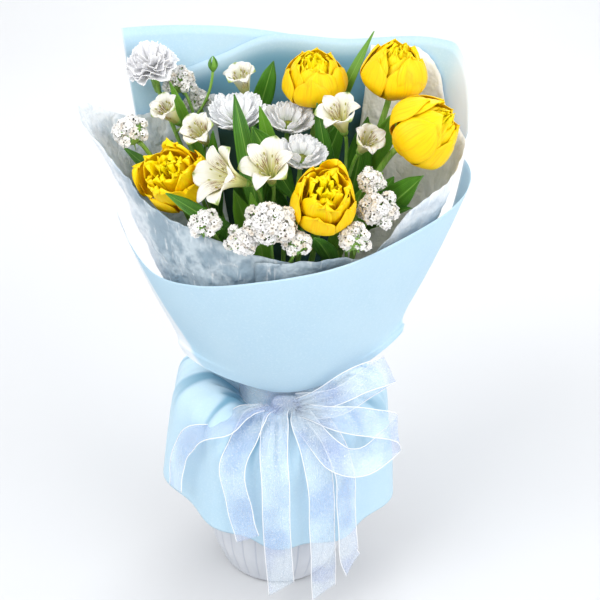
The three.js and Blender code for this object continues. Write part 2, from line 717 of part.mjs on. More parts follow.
// Each plant's heads have grown together; its stem divides into one branch for each head.
const STATICES = {
  statice_1: [
    { centre: [-92, 47, 462], radius: 15 },
    { centre: [-78, 55, 444], radius: 12 },
  ],
  statice_2: [
    { centre: [-124, -11, 438], radius: 16 },
  ],
  statice_3: [
    { centre: [-59, -81, 392], radius: 13 },
  ],
  statice_4: [
    { centre: [-10, -88, 398], radius: 20 },
    { centre: [-30, -89, 383], radius: 14 },
    { centre: [12, -92, 383], radius: 12 },
  ],
  statice_5: [
    { centre: [74, -66, 402], radius: 18 },
    { centre: [55, -86, 386], radius: 14 },
    { centre: [68, -50, 418], radius: 13 },
  ],
};
const STATICE = { florets: 12, cup: 0.36, depth: 0.6, core: 0.6, lumps: 0.3 };
const GOLDEN_TURN = 2.39996;

// A head leans outwards from the middle of the bunch.
function staticeAxis({ centre: [x, y] }) {
  const far = Math.hypot(x, y);
  return [(0.9 * x) / far, (0.9 * y) / far, 1];
}

function staticeHead(head, seed) {
  const random = randomStream(seed);
  const centre = vec(...head.centre);
  const core = ball(head.radius * STATICE.core, bloomFrame(head.centre, staticeAxis(head)), 1, 0);
  const florets = repeat(STATICE.florets, (k) => {
    const z = 1 - (1.45 * (k + 0.5)) / STATICE.florets;
    const turn = k * GOLDEN_TURN + seed;
    const flat = Math.sqrt(1 - z * z);
    const direction = vec(flat * Math.cos(turn), flat * Math.sin(turn), z);
    const reach = head.radius * (1.12 - STATICE.lumps * random());
    const depth = head.radius * STATICE.depth;
    const cup = new THREE.ConeGeometry(head.radius * STATICE.cup * (0.85 + 0.3 * random()), depth, 4);
    cup.rotateX(-Math.PI / 2);
    const place = centre.clone().addScaledVector(direction, reach - depth / 2);
    return toSolid(cup.applyMatrix4(bloomFrame(place.toArray(), direction.toArray(), k * 40)));
  });
  return fuse([core, ...florets]);
}

// ---------------------------------------------------------------- sprays

function middleOf(points) {
  const middle = vec(0, 0, 0);
  points.forEach((p) => middle.addScaledVector(p, 1 / points.length));
  return middle;
}

const FORK_DEPTH = 48;

// A stem that divides below its heads; ends are [{ point, axis }] just under each head.
function spray(ends, radius) {
  const centre = middleOf(ends.map(({ point }) => point));
  const foot = footOf([centre.x, centre.y]);
  if (ends.length === 1) {
    const stem = new Stem(foot, ends[0].point.toArray(), ends[0].axis, radius);
    return { stem, pieces: [stem.solid()] };
  }
  const joint = vec(centre.x * 0.9, centre.y * 0.9, centre.z - FORK_DEPTH);
  const heading = vec(centre.x - foot.x, centre.y - foot.y, centre.z - TIE.z).normalize();
  const stem = new Stem(foot, joint.toArray(), heading.toArray(), radius);
  const inside = joint.clone().addScaledVector(heading, -4);
  const branches = ends.map(({ point, axis }) => {
    const direction = vec(...axis).normalize();
    const pull = point.clone().addScaledVector(direction, -14);
    return rod(new THREE.QuadraticBezierCurve3(inside, pull, point), radius * 0.75, 4);
  });
  return { stem, pieces: [stem.solid(), ...branches] };
}

// Each leaf runs from a share of its stem to a tip.
const LEAVES = {
  tulip_2: [
    { at: 0.62, tip: [70, 54, 509], width: 12, face: [-0.5, -0.8, 0.2], bow: -14 },
    { at: 0.5, tip: [46, 14, 448], width: 20, face: [0, -0.95, 0.3], bow: 3 },
  ],
  tulip_3: [
    { at: 0.6, tip: [90, 0, 456], width: 19, face: [-0.6, -0.7, 0.3], bow: 4 },
    { at: 0.5, tip: [66, 6, 452], width: 22, face: [-0.1, -0.95, 0.3], bow: 4 },
    { at: 0.6, tip: [84, 2, 455], width: 18, face: [0, -0.95, 0.3], bow: 2 },
  ],
  tulip_4: [
    { at: 0.55, tip: [108, -54, 427], width: 27, face: [-0.6, -0.6, 0.5], bow: 10 },
    { at: 0.5, tip: [88, -22, 412], width: 24, face: [-0.3, -0.9, 0.3], bow: 4 },
  ],
  tulip_5: [
    { at: 0.72, tip: [30, -42, 432], width: 16, face: [0, -0.9, 0.4], bow: 4 },
  ],
  alstroemeria_1: [
    { at: 0.7, tip: [-137, 10, 420], width: 17, face: [0.1, -0.5, 0.85], bow: -4 },
    { at: 0.8, tip: [-57, -30, 450], width: 11, face: [0.1, -0.95, 0.2], bow: 3 },
    { at: 0.7, tip: [-60, -10, 440], width: 12, face: [0.1, -0.95, 0.2], bow: 3 },
  ],
  alstroemeria_2: [
    { at: 0.8, tip: [-90, -74, 415], width: 16, face: [0.1, -0.6, 0.8], bow: -6 },
    { at: 0.86, tip: [-41, -18, 476], width: 17, face: [-0.1, -0.95, 0.2], bow: 4 },
    { at: 0.6, tip: [-40, -40, 404], width: 20, face: [0, -0.95, 0.3], bow: 3 },
  ],
  alstroemeria_3: [
    { at: 0.8, tip: [-12, 36, 487], width: 17, face: [0, -1, 0.2], bow: 4 },
    { at: 0.5, tip: [-14, 4, 418], width: 24, face: [0.2, -1, 0.2], bow: 2 },
  ],
  alstroemeria_4: [
    { at: 0.82, tip: [24, -10, 468], width: 14, face: [-0.2, -0.95, 0.2], bow: 3 },
    { at: 0.75, tip: [101, -60, 402], width: 17, face: [0.2, -0.5, 0.85], bow: -9 },
    { at: 0.6, tip: [78, -34, 420], width: 20, face: [-0.1, -0.9, 0.4], bow: -3 },
  ],
  daisy_1: [
    { at: 0.55, tip: [-38, -20, 410], width: 20, face: [0.1, -0.95, 0.3], bow: 4 },
  ],
  daisy_2: [
    { at: 0.5, tip: [-10, -20, 402], width: 20, face: [0, -0.95, 0.3], bow: 4 },
    { at: 0.64, tip: [-21, -18, 467], width: 14, face: [0.1, -0.95, 0.3], bow: -3 },
  ],
  daisy_3: [
    { at: 0.75, tip: [-26, -34, 456], width: 24, face: [0.2, -0.9, 0.4], bow: 8 },
    { at: 0.6, tip: [2, -56, 392], width: 22, face: [0, -0.95, 0.3], bow: 4 },
  ],
  statice_1: [
    { at: 0.7, tip: [-97, 26, 471], width: 13, face: [-0.2, -0.95, 0.2], bow: 3 },
  ],
  statice_2: [
    { at: 0.72, tip: [-94, 4, 428], width: 15, face: [0.3, -0.9, 0.3], bow: 3 },
  ],
  statice_3: [
    { at: 0.75, tip: [-43, -70, 388], width: 14, face: [0.1, -0.95, 0.3], bow: 1 },
  ],
  statice_4: [
    { at: 0.7, tip: [-26, -56, 410], width: 18, face: [0.1, -0.95, 0.3], bow: 2 },
  ],
  statice_5: [
    { at: 0.8, tip: [24, -90, 388], width: 16, face: [-0.2, 0.3, 0.93], bow: -16 },
  ],
};

// ---------------------------------------------------------------- the whole bunch

// Collects the named pieces and the stems that the water needs holes for.
class Bunch {
  constructor() {
    this.group = new THREE.Group();
    this.group.name = 'bunch_of_tulips';
    this.stems = [];
  }

  add(name, solid, kind) {
    const mesh = new THREE.Mesh(toGeometry(solid), MATERIAL[kind]);
    mesh.name = name;
    this.group.add(mesh);
  }

  // A plant's stem, its branches and leaves, and any other green pieces, as one body.
  addGreen(name, { stem, pieces }, extra = []) {
    const leaves = (LEAVES[name] ?? []).map((spec) => leaf(stem, spec));
    this.stems.push(stem);
    this.add(`${name}_green`, fuse([...pieces, ...leaves, ...extra]), 'green');
  }
}

function addTulips(bunch) {
  const { share, lift, squash } = TULIP_CORE;
  Object.entries(TULIPS).forEach(([name, tulip], i) => {
    const up = tulip.radius * share * (lift - squash * BALL_POLE) - GAP;
    const point = offset(tulipBase(tulip).toArray(), tulip.axis, up);
    bunch.add(name, tulipBloom(tulip, i + 1), 'tulip');
    bunch.addGreen(name, spray([{ point, axis: tulip.axis }], STEM_RADIUS.tulip));
  });
}

function addAlstroemerias(bunch) {
  Object.entries(ALSTROEMERIAS).forEach(([name, florets], i) => {
    const made = florets.map((floret, k) => floretTepals(floret, 10 * i + k + 3));
    const ends = made.map(({ base }, k) => {
      const { axis } = florets[k];
      return { point: offset(base.toArray(), axis, -THROAT_HALF - GAP), axis };
    });
    made.forEach(({ solid }, k) => bunch.add(`${name}_${LETTERS[k]}`, solid, 'white'));
    bunch.addGreen(name, spray(ends, STEM_RADIUS.alstroemeria));
  });
}

function addDaisies(bunch) {
  Object.entries(DAISIES).forEach(([name, daisy], i) => {
    const point = offset(daisy.centre, daisy.axis, -3.6);
    bunch.add(name, daisyPetals(daisy, i + 1), 'white');
    bunch.addGreen(name, spray([{ point, axis: daisy.axis }], STEM_RADIUS.daisy), [daisyEye(daisy)]);
  });
}

function addStatices(bunch) {
  Object.entries(STATICES).forEach(([name, heads], i) => {
    const ends = heads.map((head) => {
      const axis = staticeAxis(head);
      return { point: offset(head.centre, axis, -head.radius * STATICE.core * BALL_POLE - GAP), axis };
    });
    bunch.add(name, fuse(heads.map((head, k) => staticeHead(head, 7 * i + k + 1))), 'papery');
    bunch.addGreen(name, spray(ends, STEM_RADIUS.statice));
  });
}

// The carnation's green body also holds its calyx and a bud on a twig of its own.
function addCarnation(bunch) {
  const { centre, axis, radius } = CARNATION;
  const { share, squash } = CARNATION_CORE;
  const top = offset(centre, axis, -radius * share * squash * BALL_POLE - GAP);
  const made = spray([{ point: top, axis }], STEM_RADIUS.carnation);
  const calyx = ball(3.4, bloomFrame(offset(top.toArray(), axis, -9).toArray(), axis), 2.5, 0);
  const bud = vec(...CARNATION.bud);
  const pull = offset(CARNATION.bud, [0, 0, 1], -40);
  const twig = new THREE.QuadraticBezierCurve3(made.stem.path.along(0.72), pull, bud);
  const budBody = ball(4, bloomFrame(CARNATION.bud, [0, 0, 1]), 1.7, 1);
  bunch.add('carnation', carnationBloom(5), 'white');
  bunch.addGreen('carnation', made, [calyx, rod(twig, 1.2, 5), budBody]);
}

function addSheets(bunch) {
  Object.entries(SHEETS).forEach(([name, spec]) => {
    const kind = name.startsWith('tissue') ? 'tissue' : 'paper';
    bunch.add(name, wrapSheet({ thickness: THICKNESS[kind], ...spec }), kind);
  });
  bunch.add('wrap_skirt', skirt(), 'paper');
}

function stemTie() {
  const half = TIE.height / 2 - 2;
  const [low, high] = [TIE.z - half, TIE.z + half];
  const { innerRadius, outerRadius } = TIE;
  const corners = [[innerRadius, low], [outerRadius, low], [outerRadius, high], [innerRadius, high]];
  return lathe([...corners, corners[0]], 16);
}

function build() {
  const bunch = new Bunch();
  addTulips(bunch);
  addAlstroemerias(bunch);
  addDaisies(bunch);
  addStatices(bunch);
  addCarnation(bunch);
  addSheets(bunch);
  bunch.add('ribbon', ribbon(), 'ribbon');
  bunch.add('vase', vase(), 'ceramic');
  bunch.add('water', water(bunch.stems), 'water');
  bunch.add('stem_tie', stemTie(), 'twine');
  return bunch.group;
}

export default build();
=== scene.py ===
"""The looks of a wrapped bunch of double tulips and small white flowers in a fluted vase.

Sizes below are in millimetres, as in the part's source, and MM turns them into metres.
Angles round the bunch (phi, degrees) start at the front and grow towards +X.
Every point of a piece carries four numbers for its material: along, across, tone and layer; on the wrap,
tissue and skirt the layer number carries painted shade.
"""

import math

import bmesh
import bpy
import numpy as np
from mathutils import Matrix, Vector, noise


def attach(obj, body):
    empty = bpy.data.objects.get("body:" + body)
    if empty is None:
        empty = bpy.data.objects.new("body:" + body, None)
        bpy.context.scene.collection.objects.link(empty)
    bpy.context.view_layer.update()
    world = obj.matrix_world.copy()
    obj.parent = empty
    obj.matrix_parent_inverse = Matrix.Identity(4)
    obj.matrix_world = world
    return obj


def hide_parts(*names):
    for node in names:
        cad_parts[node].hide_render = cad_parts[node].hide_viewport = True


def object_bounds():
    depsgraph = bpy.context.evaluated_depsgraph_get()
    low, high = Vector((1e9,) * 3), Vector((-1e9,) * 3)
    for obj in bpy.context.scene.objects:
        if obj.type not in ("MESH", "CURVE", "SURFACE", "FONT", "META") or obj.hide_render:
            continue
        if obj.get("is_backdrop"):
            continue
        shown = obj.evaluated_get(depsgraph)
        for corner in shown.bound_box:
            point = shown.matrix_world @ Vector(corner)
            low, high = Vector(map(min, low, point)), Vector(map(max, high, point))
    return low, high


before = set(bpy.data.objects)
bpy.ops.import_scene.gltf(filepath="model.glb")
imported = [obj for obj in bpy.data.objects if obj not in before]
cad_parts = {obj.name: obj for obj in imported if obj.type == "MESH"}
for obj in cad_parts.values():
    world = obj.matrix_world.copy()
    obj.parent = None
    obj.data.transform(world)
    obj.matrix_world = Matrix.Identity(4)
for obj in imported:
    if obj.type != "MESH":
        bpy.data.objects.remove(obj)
CAD_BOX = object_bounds()

# ---------------------------------------------------------------- driving dimensions

MM = 0.001
GAP = 0.3
VASE = {
    "foot": 56, "belly": 68, "rim": 75, "foot_level": 4, "belly_level": 40, "height": 124,
    "wall": 4, "floor": 5, "lip": 1.6, "flutes": 32, "depth": 1.3,
}
TIE = {"z": 200, "height": 24, "inner": 26.1, "outer": 30.4}
CONTRACTION = 0.2
WRAP = {"neck_radius": 36.6, "neck": 213, "top": 510, "side": 180, "front": 120, "back": 98, "flare": 0.5}
NECK_LEVELS = (188, 213, 219, 231, 253, 292)
LAYER_SPREAD = 1.2
OVERLAP_SHARE = 0.16
THICK = {
    "paper": 0.4, "tissue": 0.3, "ribbon": 0.3, "leaf": 0.45, "sepal": 0.4,
    "tulip": 0.5, "tepal": 0.4, "carnation": 0.35, "daisy": 0.35, "papery": 0.22,
}
RIBBON = {"width": 24, "band": 38.5, "edge": 0.45}
STEM_RADIUS = {"tulip": 2.6, "alstroemeria": 2.0, "daisy": 1.9, "statice": 1.8, "carnation": 1.8}
GOLDEN_TURN = 2.39996

# The camera stands in front of the bunch and looks down on it, a little rolled.
CAMERA = {"place": (15, -846, 758), "pitch": 29.3, "roll": 1.6, "lens": 66, "sensor": 36}


# ---------------------------------------------------------------- small helpers


def mix(a, b, t):
    return a + (b - a) * t


def smoothstep(x, low, high):
    t = np.clip((x - low) / (high - low), 0, 1)
    return t * t * (3 - 2 * t)


def unit(v):
    v = np.asarray(v, float)
    return v / np.maximum(np.linalg.norm(v, axis=-1, keepdims=True), 1e-12)


def stack(x, y, z):
    return np.stack(np.broadcast_arrays(x, y, z), axis=-1).astype(float)


def sine(degrees):
    return np.sin(np.radians(degrees))


def cosine(degrees):
    return np.cos(np.radians(degrees))


def around(phi, radius, z):
    return stack(radius * sine(phi), -radius * cosine(phi), z)


def polar(angle, out, across, up):
    c, s = np.cos(angle), np.sin(angle)
    return stack(out * c - across * s, out * s + across * c, up)


def along(keys, x):
    """A smooth value along keys ((x, value), ...), with flat ends."""
    at = np.array([k[0] for k in keys], float)
    value = np.array([k[1] for k in keys], float)
    last = len(at) - 1
    before = np.maximum(np.arange(last + 1) - 1, 0)
    after = np.minimum(np.arange(last + 1) + 1, last)
    slope = (value[after] - value[before]) / (at[after] - at[before])
    x = np.clip(np.asarray(x, float), at[0], at[-1])
    i = np.clip(np.searchsorted(at, x, side="right") - 1, 0, last - 1)
    span = at[i + 1] - at[i]
    t = (x - at[i]) / span
    t2, t3 = t * t, t * t * t
    low = (2 * t3 - 3 * t2 + 1) * value[i] + (t3 - 2 * t2 + t) * span * slope[i]
    return low + (3 * t2 - 2 * t3) * value[i + 1] + (t3 - t2) * span * slope[i + 1]


def random_stream(seed):
    """The same repeatable numbers from 0 to 1 as the part's source draws."""
    state = [seed * 2654435761 % 4294967296]

    def draw():
        state[0] = (state[0] * 1664525 + 1013904223) % 4294967296
        return state[0] / 4294967296

    return draw


class Place:
    """Carries a bloom's own axes (+Z out of the bloom) to its place on the bunch."""

    def __init__(self, centre, axis, spin=0):
        z = unit(axis)
        x = unit(np.array([1.0, 0, 0]) - z * z[0])
        turn = Matrix.Rotation(math.radians(spin), 3, "Z")
        self.turn = np.stack([x, np.cross(z, x), z], axis=1) @ np.array(turn)
        self.centre = np.array(centre, float)

    def __call__(self, points):
        return points @ self.turn.T + self.centre


def offset(centre, axis, distance):
    return np.array(centre, float) + unit(axis) * distance


def table(columns, rows):
    """Each row as a dictionary with the columns' names."""
    return [dict(zip(columns.split(), row)) for row in rows]


# ---------------------------------------------------------------- meshes


def squares(columns, rows):
    """u and v over a grid, from 0 to 1."""
    u, v = np.meshgrid(np.linspace(0, 1, columns + 1), np.linspace(0, 1, rows + 1))
    return u, v


def petal_shares(rows, columns):
    """v from 0 at a petal's foot to 1 at its tip, and s from -1 to 1 across it."""
    return np.linspace(0, 1, rows)[:, None], np.linspace(-1, 1, columns)[None, :]


def full_turn(sides):
    """The angles of a closed ring, as one row."""
    return np.linspace(0, 2 * np.pi, sides, endpoint=False)[None, :]


def ball_profile(radius, height, count, middle=0, top=86):
    """(radius, height) up a squashed ball, for Piece.turned."""
    angles = np.radians(np.linspace(-86, top, count))
    return [(radius * math.cos(a), middle + height * math.sin(a)) for a in angles]


def grid_faces(rows, ring, closed, start=0, flip=False):
    faces = []
    for row in range(rows - 1):
        for column in range(ring if closed else ring - 1):
            a = start + row * ring + column
            b = start + row * ring + (column + 1) % ring
            quad = (a, b, b + ring, a + ring)
            faces.append(quad[::-1] if flip else quad)
    return faces


def capped_faces(rows, ring):
    """Closed rings with a cap at both ends."""
    first, last = range(ring), range((rows - 1) * ring, rows * ring)
    return grid_faces(rows, ring, True) + [tuple(first)[::-1], tuple(last)]


def add_object(name, data):
    thing = bpy.data.objects.new(name, data)
    bpy.context.scene.collection.objects.link(thing)
    return thing


class Piece:
    """Collects surfaces into one named mesh that stands for CAD nodes."""

    def __init__(self, name, slot, *looks):
        self.name = name
        self.slot = slot
        self.looks = looks
        self.points = []
        self.faces = []
        self.paint = []
        self.numbers = []
        self.count = 0

    def add(self, points, faces, numbers, paint=0):
        """Points with their faces and four numbers; paint picks one of the piece's looks."""
        self.faces += [tuple(self.count + i for i in face) for face in faces]
        self.paint += [paint] * len(faces)
        self.points.append(points.reshape(-1, 3))
        spread = [np.broadcast_to(n, points.shape[:-1]).ravel() for n in numbers]
        self.numbers.append(np.stack(spread, axis=1))
        self.count += len(self.points[-1])

    def blade(self, points, thickness, numbers, paint=0, closed=False, outer_layer=1):
        """Both faces and the rim of a thin sheet; outer_layer scales the layer number on its outer face."""
        rows, ring = points.shape[:2]
        across = np.roll(points, -1, 1) - np.roll(points, 1, 1) if closed else np.gradient(points, axis=1)
        normal = unit(np.cross(across, np.gradient(points, axis=0))) * thickness / 2
        both = np.concatenate([points + normal, points - normal])
        layer, top = rows * ring, (rows - 1) * ring
        faces = grid_faces(rows, ring, closed) + grid_faces(rows, ring, closed, layer, True)
        for c in range(ring if closed else ring - 1):
            d = (c + 1) % ring
            faces.append((d, c, c + layer, d + layer))
            faces.append((top + c, top + d, top + d + layer, top + c + layer))
        for a in range(0, 0 if closed else top, ring):
            end = a + ring - 1
            faces.append((a, a + ring, a + ring + layer, a + layer))
            faces.append((end + ring, end, end + layer, end + ring + layer))
        doubled = [np.concatenate([np.broadcast_to(n, (rows, ring))] * 2) for n in numbers]
        doubled[3][:rows] = doubled[3][:rows] * outer_layer
        self.add(both, faces, doubled, paint)

    def rod(self, line, radius, tone=0.5, across=0, sides=10, paint=0, rough=0.0):
        """A round rod along a line of points, closed at both ends."""
        line = np.asarray(line, float)
        radii = np.broadcast_to(np.asarray(radius, float), (len(line),))
        tangent = unit(np.gradient(line, axis=0))
        side = unit(np.cross(tangent[0], (0.3, 0.9, 0.1)))
        turn = full_turn(sides)[0]
        bump = 1 + rough * np.sin(5 * turn)
        rings = []
        for p, t, r in zip(line, tangent, radii):
            side = unit(side - t * (side @ t))
            ring = np.outer(np.cos(turn), side) + np.outer(np.sin(turn), np.cross(t, side))
            rings.append(p + ring * (r * bump)[:, None])
        share = np.linspace(0, 1, len(line))[:, None]
        self.add(np.array(rings), capped_faces(len(line), sides), (share, across, tone, 0), paint)

    def turned(self, profile, sides, place, tone, layer=0, paint=0):
        """A profile of (radius, height) turned round an axis, closed at both ends."""
        r, z = np.array(profile, float).T[:, :, None]
        turn = full_turn(sides)
        share = np.linspace(0, 1, len(profile))[:, None]
        points = place(stack(r * np.cos(turn), r * np.sin(turn), z))
        self.add(points, capped_faces(len(profile), sides), (share, 0, tone, layer), paint)

    def finish(self, *nodes):
        mesh = bpy.data.meshes.new(self.name)
        points = np.concatenate(self.points) * MM
        mesh.from_pydata(points.tolist(), [], self.faces)
        for look in self.looks:
            mesh.materials.append(LOOK[look])
        mesh.polygons.foreach_set("material_index", self.paint)
        mesh.polygons.foreach_set("use_smooth", [True] * len(self.faces))
        numbers = np.concatenate(self.numbers).astype(np.float32)
        for k, name in enumerate(("along", "across", "tone", "layer")):
            mesh.attributes.new(name, "FLOAT", "POINT").data.foreach_set("value", numbers[:, k])
        outward = bmesh.new()
        outward.from_mesh(mesh)
        bmesh.ops.recalc_face_normals(outward, faces=outward.faces)
        outward.to_mesh(mesh)
        outward.free()
        piece = add_object(self.name, mesh)
        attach(piece, "root")
        if nodes:
            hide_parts(*nodes)
        return piece


# ---------------------------------------------------------------- materials


class Shade:
    """A material's nodes, with a short call for each kind used here."""

    def __init__(self, name, **sockets):
        self.material = bpy.data.materials.new(name)
        self.material.use_nodes = True
        self.tree = self.material.node_tree
        self.surface = self.tree.nodes["Principled BSDF"]
        for socket, value in sockets.items():
            label = socket.replace("_", " ").title().replace("Ior", "IOR")
            self.surface.inputs[label].default_value = value

    def feed(self, socket, value):
        if isinstance(value, bpy.types.NodeSocket):
            self.tree.links.new(value, socket)
        elif socket.type == "RGBA":
            socket.default_value = (*value, 1)
        else:
            socket.default_value = value

    def node(self, kind, sockets, output=0, **settings):
        """One of the outputs of a new node with these settings and these values or links in its sockets."""
        node = self.tree.nodes.new(f"ShaderNode{kind}")
        for setting, value in settings.items():
            setattr(node, setting, value)
        for socket, value in sockets.items():
            self.feed(node.inputs[socket], value)
        return node.outputs[output]

    def maths(self, operation, *values):
        return self.node("Math", dict(enumerate(values)), operation=operation)

    def product(self, first, *others):
        for other in others:
            first = self.maths("MULTIPLY", first, other)
        return first

    def fade(self, factor, low, high):
        sockets = {"Value": factor, "From Min": low, "From Max": high}
        return self.node("MapRange", sockets, interpolation_type="SMOOTHSTEP")

    def number(self, name, *ends):
        """One of the four numbers of each point, faded from 0 to 1 between two ends if they are given."""
        value = self.node("Attribute", {}, "Fac", attribute_name=name)
        return self.fade(value, *ends) if ends else value

    def from_middle(self, low, high):
        """A fade over the way from the middle line (0) to either edge (1)."""
        return self.fade(self.maths("ABSOLUTE", self.number("across")), low, high)

    def blend(self, factor, a, b, kind="MIX"):
        return self.node("Mix", {0: factor, 6: a, 7: b}, 2, data_type="RGBA", blend_type=kind)

    def ramp(self, factor, *stops):
        output = self.node("ValToRGB", {0: factor})
        steps = output.node.color_ramp.elements
        while len(steps) < len(stops):
            steps.new(0.5)
        for step, (at, colour) in zip(steps, stops):
            step.position = at
            step.color = (*colour, 1)
        return output

    def petal_vector(self, wide, long, turn=31.0):
        """Coordinates that run along each petal and differ from petal to petal."""
        scales = {"across": wide, "along": long, "tone": turn}
        axes = [self.maths("MULTIPLY", self.number(name), scale) for name, scale in scales.items()]
        return self.node("CombineXYZ", dict(enumerate(axes)))

    def place(self, stretch=(1, 1, 1)):
        return self.node("Mapping", {"Vector": self.node("TexCoord", {}, "Object"), "Scale": stretch})

    def noise(self, vector, scale, detail=3.0, rough=0.5):
        sockets = {"Vector": vector, "Scale": scale, "Detail": detail, "Roughness": rough}
        return self.node("TexNoise", sockets, "Fac")

    def grain(self, scale, detail=3.0, rough=0.5, stretch=(1, 1, 1)):
        """Noise that is fixed to the piece itself."""
        return self.noise(self.place(stretch), scale, detail, rough)

    def folds(self, scale, detail):
        """Noise folded at its middle, so that it is 0 along thin winding lines."""
        noise = self.grain(scale, detail, 0.6, (1, 1, 0.8))
        return self.maths("ABSOLUTE", self.maths("SUBTRACT", noise, 0.5))

    def finish(self, colour, grain, rough, distance, strength, height=None):
        """The colour, a roughness of rough[0] plus rough[1] times the grain, and a relief in millimetres."""
        bump = {"Strength": strength, "Distance": distance * MM, "Height": height or grain}
        self.feed(self.surface.inputs["Base Color"], colour)
        self.feed(self.surface.inputs["Roughness"], self.maths("MULTIPLY_ADD", grain, rough[1], rough[0]))
        self.feed(self.surface.inputs["Normal"], self.node("Bump", bump))
        return self.material


def thin(radius, weight=0.18, depth=1.5):
    """Sockets for light that passes a little way (depth) into a petal, leaf or paper."""
    return {"subsurface_weight": weight, "subsurface_radius": radius, "subsurface_scale": depth * MM}


def tulip_material():
    """Yellow, warmer and darker at the foot, partly as the petals' own colour and partly as painted shade in
    the crevices, with orange veins and some green at the foot of the outer petals.
    """
    outer_yellow, heart_yellow = (0.95, 0.62, 0.0), (1.0, 0.90, 0.0)
    warm_foot_and_painted_shade, waist_tint, no_tint = (1.0, 0.68, 0.15), (1.0, 0.94, 0.5), (1, 1, 1)
    vein_orange, foot_green = (1.0, 0.46, 0.0), (0.30, 0.48, 0.02)
    shade = Shade("tulip_petal", specular_ior_level=0.25, **thin((1.0, 0.8, 0.1), 0.25, 2))
    veins = shade.noise(shade.petal_vector(9, 1.3), 1.6, 4)
    depth = shade.ramp(shade.number("layer"), (0, outer_yellow), (1, heart_yellow))
    # Partly painted shade: the orange at the foot darkens the deep crevices of the cup, over the petals' own
    # warmer foot.
    base = shade.ramp(shade.number("along"), (0.0, warm_foot_and_painted_shade), (0.4, waist_tint), (0.8, no_tint))
    warm = shade.blend(1.0, depth, base, "MULTIPLY")
    streaked = shade.blend(shade.fade(veins, 0.46, 0.8), warm, vein_orange)
    low_middle = shade.product(shade.from_middle(0.5, 0.02), shade.number("along", 0.75, 0.1))
    some_outer = shade.product(shade.number("layer", 0.3, 0.02), shade.number("tone", 0.35, 0.6))
    green = shade.product(low_middle, some_outer, shade.fade(veins, 0.3, 0.62))
    return shade.finish(shade.blend(green, streaked, foot_green), veins, (0.38, 0.25), 0.4, 0.5)


def alstroemeria_material():
    """Green throat to cream, with dark dashes on the inner tepals (layer 1) and green tips on the others."""
    throat, cream = (0.36, 0.48, 0.06), (0.82, 0.80, 0.36)
    ivory, white = (0.86, 0.83, 0.68), (0.88, 0.86, 0.79)
    rib_colour, dash_brown, tip_green = (0.72, 0.68, 0.36), (0.22, 0.055, 0.02), (0.36, 0.5, 0.12)
    shade = Shade("alstroemeria_tepal", specular_ior_level=0.3, **thin((1.0, 0.9, 0.6), 0.4, 3))
    veins = shade.noise(shade.petal_vector(11, 1.0), 1.5, 4)
    body = shade.ramp(shade.number("along"), (0.0, throat), (0.4, cream), (0.7, ivory), (0.97, white))
    ribbed = shade.blend(shade.fade(veins, 0.5, 0.85), body, rib_colour)
    dashes = shade.fade(shade.noise(shade.petal_vector(15, 5.0), 1.2, 2), 0.52, 0.58)
    inner = shade.product(shade.number("layer", 0.4, 0.6), dashes)
    halfway = shade.product(shade.number("along", 0.3, 0.42), shade.number("along", 0.82, 0.6))
    marked = shade.blend(shade.product(inner, halfway), ribbed, dash_brown)
    tip = shade.product(shade.number("along", 0.9, 1.0), shade.number("layer", 0.6, 0.4))
    return shade.finish(shade.blend(tip, marked, tip_green), veins, (0.42, 0.2), 0.6, 0.6)


def white_material(name, foot, edge, wide, distance):
    """A white petal, greener at its foot and a little darker along its veins."""
    shade = Shade(name, specular_ior_level=0.25, **thin((1.0, 0.97, 0.92), 0.5, 3))
    veins = shade.noise(shade.petal_vector(wide, 1.2), 1.6, 4)
    body = shade.ramp(shade.number("along"), (0.0, foot), (0.45, edge))
    colour = shade.blend(shade.fade(veins, 0.45, 0.9), body, tuple(0.9 * c for c in edge))
    return shade.finish(colour, veins, (0.5, 0.2), distance, 0.8)


def papery_material():
    """Dry white cups, some of them brownish, with a dark speck deep in those whose across number is 1."""
    white, cream, dry = (0.97, 0.96, 0.95), (0.94, 0.92, 0.88), (0.84, 0.74, 0.62)
    crinkle_grey, speck_brown = (0.80, 0.78, 0.75), (0.09, 0.04, 0.03)
    shade = Shade("papery_floret", specular_ior_level=0.2, **thin((1.0, 0.95, 0.9), 0.4))
    tint = shade.ramp(shade.number("tone"), (0.0, white), (0.75, cream), (1.0, dry))
    crinkle = shade.grain(900)
    body = shade.blend(shade.fade(crinkle, 0.5, 0.9), tint, crinkle_grey)
    speck = shade.product(shade.number("along", 0.42, 0.2), shade.number("across", 0.42, 0.5))
    return shade.finish(shade.blend(speck, body, speck_brown), crinkle, (0.65, 0.2), 0.5, 0.6)


def leaf_material():
    """Deep green with lighter patches, fine ribs and a pale midrib; the tone number makes a leaf younger."""
    dark, mid, fresh = (0.022, 0.11, 0.008), (0.075, 0.25, 0.016), (0.17, 0.40, 0.03)
    rib_green, midrib_green = (0.12, 0.34, 0.035), (0.24, 0.46, 0.08)
    shade = Shade("leaf", specular_ior_level=0.5, **thin((0.5, 1.0, 0.15), 0.12))
    veins = shade.noise(shade.petal_vector(14, 0.5), 1.7, 2)
    deep = shade.blend(shade.fade(shade.grain(45, stretch=(1, 1, 0.4)), 0.3, 0.7), dark, mid)
    young = shade.blend(shade.number("tone", 0.45, 0.95), deep, fresh)
    ribbed = shade.blend(shade.fade(veins, 0.45, 0.75), young, rib_green)
    colour = shade.blend(shade.from_middle(0.09, 0.01), ribbed, midrib_green)
    return shade.finish(colour, veins, (0.24, 0.2), 0.6, 0.7)


def stem_material():
    foot, middle, head = (0.24, 0.38, 0.10), (0.12, 0.30, 0.03), (0.20, 0.42, 0.05)
    shade = Shade("stem", specular_ior_level=0.45, **thin((0.6, 1.0, 0.2), 0.1))
    fibres = shade.grain(700, stretch=(1, 1, 0.08))
    body = shade.ramp(shade.number("along"), (0.0, foot), (0.6, middle), (1.0, head))
    colour = shade.blend(shade.fade(fibres, 0.35, 0.75), body, (0.30, 0.48, 0.10))
    return shade.finish(colour, fibres, (0.32, 0.25), 0.3, 0.6)


